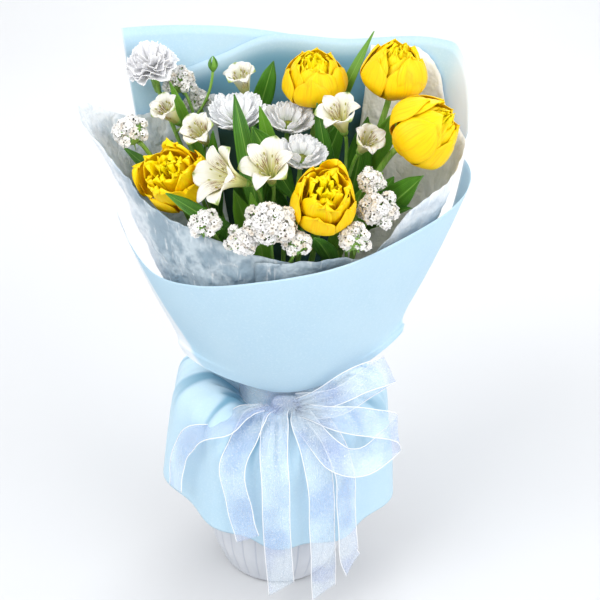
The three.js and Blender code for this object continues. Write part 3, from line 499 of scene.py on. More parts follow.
def eye_material():
    rim, middle, heart = (0.16, 0.19, 0.02), (0.34, 0.38, 0.05), (0.55, 0.52, 0.10)
    shade = Shade("daisy_eye", specular_ior_level=0.3)
    grain = shade.grain(1400, 2)
    body = shade.ramp(shade.number("tone"), (0.0, rim), (0.6, middle), (1.0, heart))
    colour = shade.blend(shade.fade(grain, 0.4, 0.7), body, (0.16, 0.10, 0.02))
    return shade.finish(colour, grain, (0.55, 0.2), 0.3, 0.6)


def paper_material():
    """Pale blue paper; its tone number fades it to white (on the back right sheet as painted light), and its
    layer number to painted shade (1) and deeper painted shade (2).
    """
    blue, light_blue, speckle = (0.45, 0.635, 0.77), (0.50, 0.68, 0.80), (0.54, 0.70, 0.82)
    painted_shade_blue, deep_painted_shade_green = (0.14, 0.32, 0.45), (0.025, 0.07, 0.05)
    white_side_and_painted_light, worn_edge = (0.72, 0.77, 0.82), (0.61, 0.71, 0.79)
    shade = Shade("wrap_paper", specular_ior_level=0.35, **thin((0.7, 0.85, 1.0), 0.2))
    fibre = shade.grain(520, 4, 0.65)
    body = shade.blend(shade.fade(shade.grain(9, 4), 0.3, 0.7), blue, light_blue)
    speckled = shade.blend(shade.fade(fibre, 0.45, 0.8), body, speckle)
    # Painted shade: the layer number darkens the paper to a shaded blue, and deeper inside the bunch to a
    # dark green.
    shaded = shade.blend(shade.number("layer", 0.0, 1.0), speckled, painted_shade_blue)
    inside = shade.blend(shade.number("layer", 1.0, 2.0), shaded, deep_painted_shade_green)
    # Painted light: on the back right sheet the tone number pales its upper right part towards white.
    pale = shade.blend(shade.number("tone", 0.0, 1.0), inside, white_side_and_painted_light)
    colour = shade.blend(shade.from_middle(0.985, 1.0), pale, worn_edge)
    dents = shade.maths("MULTIPLY_ADD", fibre, 0.05, shade.grain(34))
    return shade.finish(colour, fibre, (0.5, 0.15), 1.2, 0.5, dents)


def tissue_material():
    """Thin white paper with crossing folds, painted highlights along the fold lines and a darker copy as
    painted shade where its layer number is 1; its tone number brings out beige fibres that run up the sheet.
    """
    painted_crease_highlight, clear = (0.80, 0.84, 0.88), (0.62, 0.69, 0.76)
    shaded_painted_crease_highlight, painted_shade_tissue = (0.52, 0.61, 0.67), (0.28, 0.37, 0.44)
    white_fibre, beige_fibre, fibre_white = (1.0, 0.98, 0.94), (0.90, 0.88, 0.80), (0.95, 0.96, 0.96)
    shade = Shade("tissue_paper", specular_ior_level=0.3, **thin((0.95, 0.98, 1.0), 0.15))
    folds = shade.folds(22, 4)
    fibre = shade.grain(300, 4, stretch=(1, 1, 0.12))
    # Painted highlights: the fold lines are paler, as if they caught the light. The unlit copy, brought in by
    # the layer number, is painted shade.
    ridge = shade.fade(folds, 0.0, 0.09)
    lit, unlit = shade.blend(ridge, painted_crease_highlight, clear), shade.blend(ridge, shaded_painted_crease_highlight, painted_shade_tissue)
    body = shade.blend(shade.number("layer", 0.0, 1.0), lit, unlit)
    streaks = shade.ramp(shade.grain(150, 4, stretch=(1, 1, 0.1)), (0.4, white_fibre), (0.6, beige_fibre))
    beige = shade.blend(shade.product(shade.number("tone", 0.3, 0.8), 0.8), body, streaks)
    colour = shade.blend(shade.fade(fibre, 0.55, 0.85), beige, fibre_white)
    crumple = shade.maths("MULTIPLY_ADD", shade.folds(70, 3), 0.4, folds)
    return shade.finish(colour, fibre, (0.45, 0.2), 9.0, 0.8, crumple)


def ribbon_material():
    """Sheer woven ribbon with painted glints, mottled from lilac to icy blue as its own tint with painted
    shade and painted light in it, and firm white edges.
    """
    lilac_and_painted_shade, ice_blue_and_painted_light = (0.48, 0.60, 0.88), (0.76, 0.88, 0.99)
    painted_glint, edge_white = (0.97, 0.99, 1.0), (0.97, 0.98, 1.0)
    shade = Shade("organza", specular_ior_level=0.7, sheen_weight=0.4, sheen_roughness=0.3)
    threads = shade.noise(shade.petal_vector(26, 5.0), 1.9, 3, 0.6)
    spark = shade.grain(1450, 2, stretch=(1, 1, 0.5))
    edge = shade.from_middle(0.965, 0.98)
    # Partly painted shade and light: a coarse mottle from lilac to icy blue, over the ribbon's own tint.
    body = shade.blend(shade.fade(shade.grain(26, 2), 0.38, 0.62), lilac_and_painted_shade, ice_blue_and_painted_light)
    # Painted glints: near-white specks where the fine spark grain is high.
    lit = shade.blend(shade.fade(spark, 0.53, 0.7), body, painted_glint)
    weave = shade.maths("MULTIPLY_ADD", threads, 0.45, 0.02)
    sheer = shade.maths("MULTIPLY_ADD", shade.fade(spark, 0.53, 0.72), 0.25, weave)
    shade.feed(shade.surface.inputs["Alpha"], shade.maths("MAXIMUM", sheer, shade.product(edge, 0.85)))
    return shade.finish(shade.blend(edge, lit, edge_white), threads, (0.25, 0.25), 0.3, 0.6, spark)


def ceramic_material():
    """White glaze, with painted shade that greys the grooves, where the across number is 0."""
    grey, white, groove_painted_shade = (0.57, 0.60, 0.65), (0.65, 0.67, 0.71), (0.50, 0.53, 0.60)
    shade = Shade("white_ceramic", specular_ior_level=0.5, coat_weight=0.35, coat_roughness=0.12)
    cloud = shade.grain(22)
    body = shade.blend(shade.fade(cloud, 0.35, 0.7), grey, white)
    # Painted shade: the grooves are greyer.
    colour = shade.blend(shade.number("across", 0.0, 0.5), groove_painted_shade, body)
    pitted = shade.maths("MULTIPLY_ADD", shade.grain(700, 2), 0.1, cloud)
    return shade.finish(colour, cloud, (0.24, 0.15), 0.5, 0.3, pitted)


def water_material():
    shade = Shade("water", transmission_weight=0.95, ior=1.33, specular_ior_level=0.5)
    ripple = shade.grain(30, 2)
    colour = shade.blend(shade.fade(ripple, 0.3, 0.7), (0.86, 0.93, 0.92), (0.92, 0.96, 0.95))
    return shade.finish(colour, ripple, (0.01, 0.03), 0.6, 0.4)


def twine_material():
    shade = Shade("twine", specular_ior_level=0.2)
    fluff = shade.noise(shade.petal_vector(3, 160), 1.5)
    colour = shade.blend(shade.fade(fluff, 0.3, 0.7), (0.30, 0.21, 0.10), (0.56, 0.44, 0.26))
    return shade.finish(colour, fluff, (0.7, 0.2), 0.6, 0.8)


LOOK = {
    "tulip": tulip_material(),
    "tepal": alstroemeria_material(),
    "daisy": white_material("daisy_petal", (0.64, 0.70, 0.54), (0.90, 0.91, 0.93), 6, 0.5),
    "carnation": white_material("carnation_petal", (0.68, 0.71, 0.66), (0.90, 0.90, 0.92), 12, 0.4),
    "papery": papery_material(),
    "leaf": leaf_material(),
    "stem": stem_material(),
    "eye": eye_material(),
    "paper": paper_material(),
    "tissue": tissue_material(),
    "ribbon": ribbon_material(),
    "ceramic": ceramic_material(),
    "water": water_material(),
    "twine": twine_material(),
}


# ---------------------------------------------------------------- vase, water and tie


def vase_radius(z):
    levels = (0, VASE["foot_level"], VASE["belly_level"], VASE["height"])
    radii = (VASE["foot"] - VASE["foot_level"], VASE["foot"], VASE["belly"], VASE["rim"])
    return along(tuple(zip(levels, radii)), z)


def vase_profile():
    """(radius, height, share of the fluting) from under the foot, over the rim, to the inner floor."""
    top, wall, floor, lip = (VASE[k] for k in ("height", "wall", "floor", "lip"))
    base = vase_radius(0)
    foot = [(0.2, 0.6, 0), (base - 9, 0.6, 0), (base - 7, 0, 0), (base - 1, 0.15, 0)]
    z = np.linspace(1.5, top - lip, 48)
    outer = list(zip(vase_radius(z), z, smoothstep(z, 3, 9) * smoothstep(z, top - 3, top - 9)))
    half = wall / 2
    over = np.radians(range(30, 181, 30))
    rim = [(VASE["rim"] - half + half * math.cos(a), top - lip + lip * math.sin(a), 0) for a in over]
    inner = [(vase_radius(z) - wall - VASE["depth"], z, 0) for z in np.linspace(top - 4, floor + 6, 14)]
    return foot + outer + rim + inner + [(vase_radius(8) - 14, floor, 0), (0.2, floor, 0)]


def make_vase():
    piece = Piece("vase_body", "ceramic", "ceramic")
    sides = VASE["flutes"] * 10
    turn = np.linspace(0, 360, sides, endpoint=False)[None, :]
    groove = np.abs(cosine(turn * VASE["flutes"] / 2)) ** 0.6
    radius, height, fluted = np.array(vase_profile(), float).T[:, :, None]
    points = around(turn, radius - fluted * VASE["depth"] * (1 - groove), height)
    numbers = (height / VASE["height"], mix(1.0, groove, fluted), 0.5, 0)
    piece.add(points, grid_faces(len(radius), sides, True), numbers)
    piece.finish("vase")


def make_tie():
    """Twine wound round the stems in neat turns."""
    piece = Piece("twine_turns", "twine", "twine")
    thick = (TIE["outer"] - TIE["inner"]) / 2
    turns = int(TIE["height"] / (2 * thick))
    share = np.linspace(0, 1, 60 * turns)
    low = TIE["z"] - TIE["height"] / 2 + 2 * thick
    height = low + share * (TIE["height"] - 4 * thick)
    line = around(360 * turns * share, (TIE["inner"] + TIE["outer"]) / 2 + 0 * share, height)
    piece.rod(line, thick, 0, rough=0.08)
    piece.finish("stem_tie")


# ---------------------------------------------------------------- wrap, tissue and skirt


def wrap_radius(phi, z, inset):
    s, c = sine(phi), cosine(phi)
    deep = np.where(c > 0, WRAP["front"], WRAP["back"])
    top_radius = 1 / np.hypot(s / WRAP["side"], c / deep)
    height = np.maximum((z - inset - WRAP["neck"]) / (WRAP["top"] - WRAP["neck"]), 0)
    return mix(WRAP["neck_radius"], top_radius, height ** WRAP["flare"]) - inset * (1 + LAYER_SPREAD * height)


def sheet_height(low, high, v, rows):
    """The source's shared heights near the neck, for a share v of a sheet of that many rows."""
    levels = np.array(NECK_LEVELS, float)
    shared = len(levels) - 1
    row = v * rows
    lift = np.interp(row, np.arange(shared + 1), (levels - levels[0]) / (levels[-1] - levels[0]))
    above = mix(levels[-1], high, (row - shared) / (rows - shared))
    return np.where(row >= shared, above, mix(low, levels[-1], lift))


def wrinkle(phi, z):
    return (np.sin(phi * 0.21 + z * 0.03) + np.sin(phi * 0.13 - z * 0.05) - 2) / 2


def flare(phi, z, middle=0, reach=1, low=0, high=1, out=0):
    """How far a loose flap of a sheet flares out past the wrap, round its middle angle and near its top."""
    return out * smoothstep(1 - np.abs(phi - middle) / reach, 0, 0.7) * smoothstep(z, low, high)


def edge_of(keys, u):
    at = np.linspace(0, 1, len(keys))
    return [along(tuple(zip(at, [key[k] for key in keys])), u) for k in (0, 1)]


def noise_at(points, size, seed=0):
    """Smooth noise from -1 to 1 at each point, for features of about that size in millimetres."""
    flat = points.reshape(-1, 3) / size + seed * 7.3
    return np.array([noise.noise(Vector(p)) for p in flat]).reshape(points.shape[:-1])


SHEETS = {
    "wrap_front": {
        "inset": -0.4, "stand_off": 11, "look": "paper", "crease": 0.5,
        "lower": ((-64, 248), (-44, 233), (-14, 219), (18, 207), (44, 220), (60, 244), (74, 272)),
        "upper": ((-86, 368), (-68, 335), (-44, 336), (-11, 350), (28, 366), (60, 390), (98, 412)),
    },
    "wrap_back_left": {
        "inset": 2.0, "look": "paper", "crease": 0.4,
        "lower": ((-190, 188), (-140, 188), (-100, 188)),
        "upper": ((-190, 492), (-150, 500), (-112, 505)),
    },
    "wrap_back_right": {
        "inset": 3.1, "look": "paper", "crease": 0.4,
        "lower": ((96, 188), (170, 188), (244, 188)),
        "upper": ((97, 436), (108, 492), (118, 502), (150, 493), (190, 494), (215, 478), (238, 462)),
    },
    "tissue_right": {
        "inset": 4.2, "crumple": 4, "look": "tissue", "crease": 3.4,
        "lower": ((-14, 188), (62, 188), (138, 188)),
        "upper": ((-14, 362), (28, 368), (44, 366), (62, 408), (84, 424), (103, 446), (118, 490), (138, 490)),
    },
    "tissue_left": {
        "inset": 5.4, "crumple": 3, "look": "tissue", "crease": 3.4,
        "flap": {"middle": -90, "reach": 20, "low": 385, "high": 462, "out": 17},
        "lower": ((-138, 188), (-60, 188), (10, 188)),
        "upper": (
            (-138, 446), (-118, 436), (-104, 438), (-90, 460), (-76, 424), (-60, 393), (-40, 383), (-16, 370),
            (10, 362),
        ),
    },
}


def crushed(points, size, seed):
    """Sharp folds from 0 to -1, as in crumpled tissue, that only push inwards."""
    large = np.abs(noise_at(points, size, seed))
    small = np.abs(noise_at(points, size / 2.6, seed + 5))
    return np.clip(large * 1.6 + small * 0.7, 0, 1.4) / 1.4 - 1


def wrap_points(spec, u, v, rows, seed):
    """The sheet's own surface, with its folds pressed in and its upper edge a little ragged."""
    low_phi, low_z = edge_of(spec["lower"], u)
    high_phi, high_z = edge_of(spec["upper"], u)
    z = sheet_height(low_z, high_z, v, rows)
    phi = mix(low_phi, high_phi, ((z - low_z) / (high_z - low_z)) ** 0.7)
    ends = np.clip(6 * (np.minimum(u, 1 - u) - OVERLAP_SHARE), 0, 1)
    rise = smoothstep(z, WRAP["neck"], WRAP["top"])
    crease = spec.get("crumple", 0) * ends * rise * wrinkle(phi, z)
    corner = spec.get("stand_off", 0) * smoothstep(np.abs(2 * u - 1), 0.3, 1) * (1 - v) ** 2
    radius = wrap_radius(phi, z, spec["inset"]) + crease + corner + flare(phi, z, **spec.get("flap", {}))
    points = around(phi, radius, z)
    high = smoothstep(z, 240, 330)
    if spec["look"] == "tissue":
        fold = spec["crease"] * high * crushed(points, 26, seed)
        ragged = 2.2 * noise_at(points, 9, seed + 2) * smoothstep(v, 0.86, 1)
    else:
        pleats = np.abs(noise_at(stack(phi * 2.2, z * 0.25, 0), 30, seed))
        fold = spec["crease"] * high * -pleats
        ragged = 0
    return around(phi, radius + fold, z + ragged)


def cut_size(points):
    """The flat width, length and area of a sheet, in metres, off its grid of points."""
    widths = np.linalg.norm(np.diff(points, axis=1), axis=2).sum(axis=1)
    lengths = np.linalg.norm(np.diff(points, axis=0), axis=2).sum(axis=0)
    across, up = np.diff(points, axis=1)[:-1], np.diff(points, axis=0)[:, :-1]
    area = np.linalg.norm(np.cross(across, up), axis=2).sum() * MM * MM
    width, length = float(widths.max() * MM), float(lengths.max() * MM)
    return (width, length), min(float(area), width * length)


def declare_sheet(piece, points):
    flat, area = cut_size(points)


# Where a sheet turns to its second colour, over its shares u across and v up. On wrap_back_right this is
# painted light that pales its upper right part.
SHEET_TONE = {
    "wrap_front": lambda u, v: smoothstep(u, 0.11, 0.06),
    "wrap_back_right": lambda u, v: smoothstep(u, 0.3, 0.05) * smoothstep(v, 0.4, 0.8),
    "tissue_right": lambda u, v: smoothstep(u, 0.45, 0.6) * smoothstep(v, 0.5, 0.7),
}


def under_top(u, v, top, side, deep):
    """Painted shade that starts at the top of a back sheet, away from one side of it, and is full further
    down.
    """
    return smoothstep(v, *top) * smoothstep(u, *side) + smoothstep(v, *deep)


# Where painted shade darkens a sheet, for the shade of the bunch or of the sheet itself; on the back sheets,
# on their inner face only.
SHEET_PAINTED_SHADE = {
    "wrap_front": lambda u, v: 0.3 * smoothstep(u, 0.42, 0.12),
    "wrap_back_left": lambda u, v: under_top(u, v, (0.985, 0.95), (0.7, 0.3), (0.93, 0.86)),
    "wrap_back_right": lambda u, v: under_top(u, v, (0.998, 0.965), (0.25, 0.4), (0.94, 0.88)),
    "tissue_left": lambda u, v: smoothstep(u, 0.42, 0.62),
    "tissue_right": lambda u, v: smoothstep(u, 0.3, 0.05),
}


def make_wrap_sheets():
    u, v = squares(150, 90)
    for seed, (name, spec) in enumerate(SHEETS.items(), 3):
        points = wrap_points(spec, u, v, 7, seed)
        slot = "wrap_paper" if spec["look"] == "paper" else "tissue_paper"
        piece = Piece(f"{name}_sheet", slot, spec["look"])
        # The tone number carries each sheet's second colour, painted light on the back right sheet, and the
        # layer number its painted shade.
        tone, shade = (where.get(name, lambda u, v: 0)(u, v) for where in (SHEET_TONE, SHEET_PAINTED_SHADE))
        outer_layer = 0 if name.startswith("wrap_back") else 1
        piece.blade(points, THICK[spec["look"]], (v, 2 * u - 1, tone, shade), outer_layer=outer_layer)
        declare_sheet(piece.finish(name), points)


SKIRT = {
    "pleats": 10, "depth": 3.6, "slant": 9, "gathers": 30,
    "front": (
        (0, 35.8, 211), (0.1, 35.8, 187), (0.2, 42, 181), (0.36, 62, 176),
        (0.52, 80, 158), (0.74, 86, 122), (1, 88, 76),
    ),
    "side": (
        (0, 35.8, 211), (0.1, 35.8, 187), (0.2, 42, 189), (0.36, 66, 211),
        (0.52, 94, 199), (0.74, 104, 156), (1, 110, 103),
    ),
}


def skirt_point(phi, share, lift):
    sideways = sine(phi) ** 2

    def pick(column):
        front, side = (along([(key[0], key[column]) for key in SKIRT[k]], share) for k in ("front", "side"))
        return mix(front, side, sideways)

    height = pick(2) - SKIRT["slant"] * share * sine(phi)
    return around(phi, pick(1) + lift, height)


def make_skirt():
    """Broad pleats as in the source, with small gathers that run out from under the ribbon and painted shade
    in their deep folds.
    """
    u, v = squares(540, 110)
    phi, v = 360 * u[:, :-1], v[:, :-1]
    pleats = SKIRT["depth"] * smoothstep(v, 0.1, 0.5) * cosine(phi * SKIRT["pleats"])
    c, s = cosine(phi), sine(phi)
    wander = noise_at(stack(40 * c, 40 * s, 60 * v), 22, 2)
    gathers = smoothstep(v, 0.12, 0.26) * smoothstep(v, 0.75, 0.3)
    small = 1.6 * gathers * np.arcsin(np.sin(np.radians(phi * SKIRT["gathers"]) + 3.2 * wander))
    ridges = np.abs(noise_at(stack(70 * c, 70 * s, 22 * v), 17, 6)) - 0.25
    dents = 1.2 * smoothstep(v, 0.25, 0.6) * wander + 11.0 * gathers * ridges
    points = skirt_point(phi, v, pleats + small + dents)
    piece = Piece("wrap_skirt_sheet", "wrap_paper", "paper")
    # Painted shade: the paper is darkened in the deep folds of the gathers.
    painted_crease_shade = 0.9 * gathers * smoothstep(ridges, 0.0, -0.22)
    piece.blade(points, THICK["paper"], (v, 0, 0, painted_crease_shade), closed=True)
    laid_flat = np.concatenate([points, points[:, :1]], axis=1)
    declare_sheet(piece.finish("wrap_skirt"), laid_flat)


# ---------------------------------------------------------------- ribbon


def bezier(points, t):
    """A quadratic or cubic curve through its handles."""
    points = [np.array(p, float) for p in points]
    t = np.asarray(t, float)[..., None]
    while len(points) > 1:
        points = [mix(a, b, t) for a, b in zip(points, points[1:])]
    return points[0]


def smooth_path(points, count):
    """A centripetal curve through the points, as the source draws its ribbon."""
    p = [np.array(q, float) for q in points]
    p = [2 * p[0] - p[1], *p, 2 * p[-1] - p[-2]]
    spans = len(p) - 3
    line = []
    for t in np.linspace(0, spans, count):
        i = min(int(t), spans - 1)
        local = t - i
        a, b, c, d = p[i:i + 4]
        k0, k1, k2 = (max(float(np.sum((y - x) ** 2)) ** 0.25, 1e-4) for x, y in ((a, b), (b, c), (c, d)))
        m1 = ((b - a) / k0 - (c - a) / (k0 + k1) + (c - b) / k1) * k1
        m2 = ((c - b) / k1 - (d - b) / (k1 + k2) + (d - c) / k2) * k1
        s2, s3 = local * local, local ** 3
        near = (2 * s3 - 3 * s2 + 1) * b + (s3 - 2 * s2 + local) * m1
        line.append(near + (3 * s2 - 2 * s3) * c + (s3 - s2) * m2)
    return np.array(line)


def strip_points(points, side, width, steps, seed, tail_cut=0.0):
    """Rows across a ribbon: narrow at the knot, a little cupped and rippled, cut aslant at its end."""
    line = smooth_path(points, steps + 1)
    tangent = unit(np.gradient(line, axis=0))
    side = np.array(side, float)
    across = unit(side - tangent * (tangent @ side)[:, None])
    out = np.cross(tangent, across)
    v = np.linspace(0, 1, steps + 1)[:, None]
    s = np.linspace(-1, 1, 17)[None, :]
    spread = mix(0.5, 1, smoothstep(v, 0, 0.25)) * width / 2
    ripple = 0.7 * np.sin(9 * v * np.pi + 2.2 * s + seed) * smoothstep(v, 0.05, 0.4)
    pinched = 1.6 * (1 - smoothstep(v, 0, 0.3)) * np.cos(3 * np.pi * s)
    slant = tail_cut * (0.5 + 0.5 * s) * smoothstep(v, 0.8, 1)
    axes_and_ways = ((across, s * spread), (out, ripple + pinched), (tangent, -slant))
    return line[:, None] + sum(axis[:, None] * way[..., None] for axis, way in axes_and_ways)


# Each loop: the way across the ribbon, and its route out of the knot and back.
LOOPS = (
    ((-0.4, 0.35, 0.85), (
        (14, -49, 204), (40, -66, 226), (68, -68, 246), (89, -60, 250),
        (93, -46, 242), (76, -46, 228), (50, -54, 213), (16, -48, 203),
    )),
    ((-0.1, 0.62, 0.77), (
        (14, -48, 200), (46, -80, 214), (80, -80, 210), (102, -68, 196),
        (98, -64, 180), (74, -84, 172), (52, -92, 180), (16, -50, 196),
    )),
)
# Each tail: (angle, share) down the skirt, places where it hangs free, the slant of its end, and how much
# slimmer than the ribbon it is.
TAILS = (
    (((-36, 0.42), (-48, 0.56), (-56, 0.72)), ((-93, -66, 120),), 4, 0),
    (((-23, 0.42), (-25, 0.57), (-20, 0.78)), ((-25, -96, 87),), 8, 0),
    (((-3, 0.42), (-1, 0.6), (0, 0.85)), ((3, -94, 60), (6, -90, 20)), 16, 0),
    (((22, 0.42), (23, 0.6), (24, 0.85)), ((43, -92, 60), (45, -88, 18)), 10, 0),
    (((34, 0.44), (36, 0.6), (37, 0.82)), ((66, -88, 70), (72, -84, 48)), 14, 4),
)


def tail_points(seed, over, hang, cut, slim):
    """A tail out of the knot, over the crest and down the skirt."""
    lift = SKIRT["depth"] + 5
    lying = [skirt_point(phi, share, lift) + (0, 0, 7 * (1 - share)) for phi, share in over]
    start = (lying[0][0] * 0.4 + 4, -RIBBON["band"] - 6, TIE["z"])
    crest = around(over[0][0] * 0.9, 58, TIE["z"] - 3)
    phi = math.radians(over[-1][0])
    side = (math.cos(phi), math.sin(phi), 0.15)
    return strip_points([start, crest, *lying, *hang], side, RIBBON["width"] - slim, 90, seed, cut)


KNOT = {"x": 10, "half": 18, "tall": 10.5, "deep": 4.6, "far": 44.5}


def band_points():
    u, v = squares(240, 12)
    phi, v = 360 * u[:, :-1], v[:, :-1]
    folds = 0.25 * np.sin(v * 5 * np.pi + np.radians(phi) * 3)
    return around(phi, RIBBON["band"] + folds, TIE["z"] + (v - 0.5) * TIE["height"]), v


def knot_points():
    """A flat gathered knot: the band folded over the front."""
    u, v = squares(56, 20)
    turn, s = 2 * np.pi * u[:, :-1], 2 * v[:, :-1] - 1
    waist = np.maximum(1 - s ** 6, 0.02) ** 0.5
    folds = 1 + 0.05 * np.sin(9 * turn + 2 * s)
    out = -KNOT["far"] - KNOT["deep"] * waist * folds * np.cos(turn)
    points = stack(KNOT["x"] + KNOT["half"] * s, out, TIE["z"] + 1 + KNOT["tall"] * waist * np.sin(turn))
    return points, turn, s


def middle_length(points):
    middle = points[:, points.shape[1] // 2]
    return np.linalg.norm(np.diff(middle, axis=0), axis=1).sum()


def make_ribbon():
    piece = Piece("ribbon_organza", "organza_ribbon", "ribbon")
    cords = Piece("ribbon_edge_cords", "organza_ribbon", "ribbon")
    strips = [strip_points(route, side, RIBBON["width"], 110, k) for k, (side, route) in enumerate(LOOPS)]
    strips += [tail_points(k, *tail) for k, tail in enumerate(TAILS, 4)]
    for points in strips:
        rows, columns = points.shape[:2]
        u, v = squares(columns - 1, rows - 1)
        piece.blade(points, THICK["ribbon"], (v * middle_length(points) / 60, 2 * u - 1, 0.4, 0))
        for edge in (0, -1):
            cords.rod(points[:, edge], RIBBON["edge"], 0.4, across=1, sides=6)
    band, v = band_points()
    piece.blade(band, THICK["ribbon"], (v, 2 * v - 1, 0.2, 0), closed=True)
    knot, turn, s = knot_points()
    piece.blade(knot, THICK["ribbon"], (turn, 0.8 * s, 0.3, 0), closed=True)
    made = piece.finish("ribbon")
    edges = cords.finish()
    length = sum(middle_length(points) for points in strips) + 2 * np.pi * (RIBBON["band"] + 12)


# ---------------------------------------------------------------- stems and leaves


class Stem:
    """A straight stretch in the vase and through the tie, then a bend out to the head."""

    def __init__(self, foot, head, axis, radius, reach=30):
        self.radius = radius
        self.foot = np.array((*foot, VASE["floor"] + GAP))
        self.rise = np.array((*foot, TIE["z"] + TIE["height"] / 2))
        head = np.array(head, float)
        ease = mix(self.rise, head, 0.3)
        ease[:2] = mix(self.foot[:2], head[:2], 0.16)
        self.handles = (self.rise, ease, head - unit(axis) * reach, head)

    def at(self, share):
        return bezier(self.handles, share)

    def line(self):
        straight = [mix(self.foot, self.rise, t) for t in np.linspace(0, 1, 5)[:-1]]
        return np.concatenate([straight, self.at(np.linspace(0, 1, 30))])


FORK_DEPTH = 48


def spray(ends, radius):
    """A stem's own line and those of its branches, which part below the heads."""
    centre = np.mean([point for point, _ in ends], axis=0)
    foot = centre[:2] * CONTRACTION
    if len(ends) == 1:
        point, axis = ends[0]
        stem = Stem(foot, point, axis, radius)
        return stem, [(stem.line(), radius)]
    joint = np.array((centre[0] * 0.9, centre[1] * 0.9, centre[2] - FORK_DEPTH))
    heading = unit(np.array((centre[0] - foot[0], centre[1] - foot[1], centre[2] - TIE["z"])))
    stem = Stem(foot, joint, heading, radius)
    lines = [(stem.line(), radius)]
    for point, axis in ends:
        handles = (joint - 4 * heading, np.array(point) - unit(axis) * 14, point)
        lines.append((bezier(handles, np.linspace(0, 1, 14)), radius * 0.75))
    return stem, lines


# Each leaf: the share of its stem where it starts, its tip, width, the way its upper side looks, and its bow.
LEAVES = {
    "tulip_2": (
        (0.62, (70, 54, 509), 12, (-0.5, -0.8, 0.2), -14),
        (0.5, (46, 14, 448), 20, (0, -0.95, 0.3), 3),
    ),
    "tulip_3": (
        (0.6, (90, 0, 456), 19, (-0.6, -0.7, 0.3), 4),
        (0.5, (66, 6, 452), 22, (-0.1, -0.95, 0.3), 4),
        (0.6, (84, 2, 455), 18, (0, -0.95, 0.3), 2),
    ),
    "tulip_4": (
        (0.55, (108, -54, 427), 27, (-0.6, -0.6, 0.5), 10),
        (0.5, (88, -22, 412), 24, (-0.3, -0.9, 0.3), 4),
    ),
    "tulip_5": ((0.72, (30, -42, 432), 16, (0, -0.9, 0.4), 4),),
    "alstroemeria_1": (
        (0.7, (-137, 10, 420), 17, (0.1, -0.5, 0.85), -4),
        (0.8, (-57, -30, 450), 11, (0.1, -0.95, 0.2), 3),
        (0.7, (-60, -10, 440), 12, (0.1, -0.95, 0.2), 3),
    ),
    "alstroemeria_2": (
        (0.8, (-90, -74, 415), 16, (0.1, -0.6, 0.8), -6),
        (0.86, (-41, -18, 476), 17, (-0.1, -0.95, 0.2), 4),
        (0.6, (-40, -40, 404), 20, (0, -0.95, 0.3), 3),
    ),
    "alstroemeria_3": (
        (0.8, (-12, 36, 487), 17, (0, -1, 0.2), 4),
        (0.5, (-14, 4, 418), 24, (0.2, -1, 0.2), 2),
    ),
    "alstroemeria_4": (
        (0.82, (24, -10, 468), 14, (-0.2, -0.95, 0.2), 3),
        (0.75, (101, -60, 402), 17, (0.2, -0.5, 0.85), -9),
        (0.6, (78, -34, 420), 20, (-0.1, -0.9, 0.4), -3),
    ),
    "daisy_1": ((0.55, (-38, -20, 410), 20, (0.1, -0.95, 0.3), 4),),
    "daisy_2": (
        (0.5, (-10, -20, 402), 20, (0, -0.95, 0.3), 4),
        (0.64, (-21, -18, 467), 14, (0.1, -0.95, 0.3), -3),
    ),
    "daisy_3": (
        (0.75, (-26, -34, 456), 24, (0.2, -0.9, 0.4), 8),
        (0.6, (2, -56, 392), 22, (0, -0.95, 0.3), 4),
    ),
    "statice_1": ((0.7, (-97, 26, 471), 13, (-0.2, -0.95, 0.2), 3),),
    "statice_2": ((0.72, (-94, 4, 428), 15, (0.3, -0.9, 0.3), 3),),
    "statice_3": ((0.75, (-43, -70, 388), 14, (0.1, -0.95, 0.3), 1),),
    "statice_4": ((0.7, (-26, -56, 410), 18, (0.1, -0.95, 0.3), 2),),
    "statice_5": ((0.8, (24, -90, 388), 16, (-0.2, 0.3, 0.93), -16),),
}
LEAF_FOLD = 0.18


def leaf_points(start, tip, width, face, bow, seed):
    """A lance-shaped blade, folded along its midrib, with a waved edge."""
    end, upper = np.array(tip, float), unit(face)
    v, s = petal_shares(37, 13)
    line = bezier((start, mix(start, end, 0.5) - upper * bow, end), v[:, 0])
    tangent = unit(np.gradient(line, axis=0))
    across = unit(np.cross(tangent, upper))
    lean = np.cross(across, tangent)
    shares = ((0.15, 0.2), (0.5, 0.5), (0.8, 0.36), (0.93, 0.15))
    half = along(((0, 1.2), *((at, width * share) for at, share in shares), (1, 0.3)), v)
    wave = 0.05 * width * np.sin(11 * v + 2 * s + seed) * s * s * smoothstep(v, 0.1, 0.5)
    lift = LEAF_FOLD * half * np.abs(s) ** 1.3 + wave
    grid = line[:, None] - across[:, None] * (s * half)[..., None] + lean[:, None] * lift[..., None]
    return grid, v, s


def make_green(name, ends, extra=None):
    """A plant's stem, its branches and leaves, and any other green forms, as one piece."""
    radius = STEM_RADIUS[name.split("_")[0]]
    piece = Piece(f"{name}_stem", "stem_leaf", "stem", "leaf", "eye")
    stem, lines = spray(ends, radius)
    for line, thick in lines:
        piece.rod(line, thick, sides=12)
    for k, (share, *shape) in enumerate(LEAVES.get(name, ())):
        seed = 3 * k + len(name) + int(share * 100)
        grid, v, s = leaf_points(stem.at(share), *shape, seed)
        piece.blade(grid, THICK["leaf"], (v, s, random_stream(seed)(), 0), 1)
    if extra:
        extra(piece, stem)
    piece.finish(f"{name}_green")


# ---------------------------------------------------------------- tulips

TULIP_PETALS = "count radius height width turn root"
TULIP_LAYERS = table(TULIP_PETALS, (
    (5, 1, 0.92, 0.62, 0, (0.3, 0.1)),
    (4, 0.78, 1, 0.58, 36, (0.28, 0.2)),
    (3, 0.5, 0.95, 0.46, 12, (0.2, 0.34)),
))
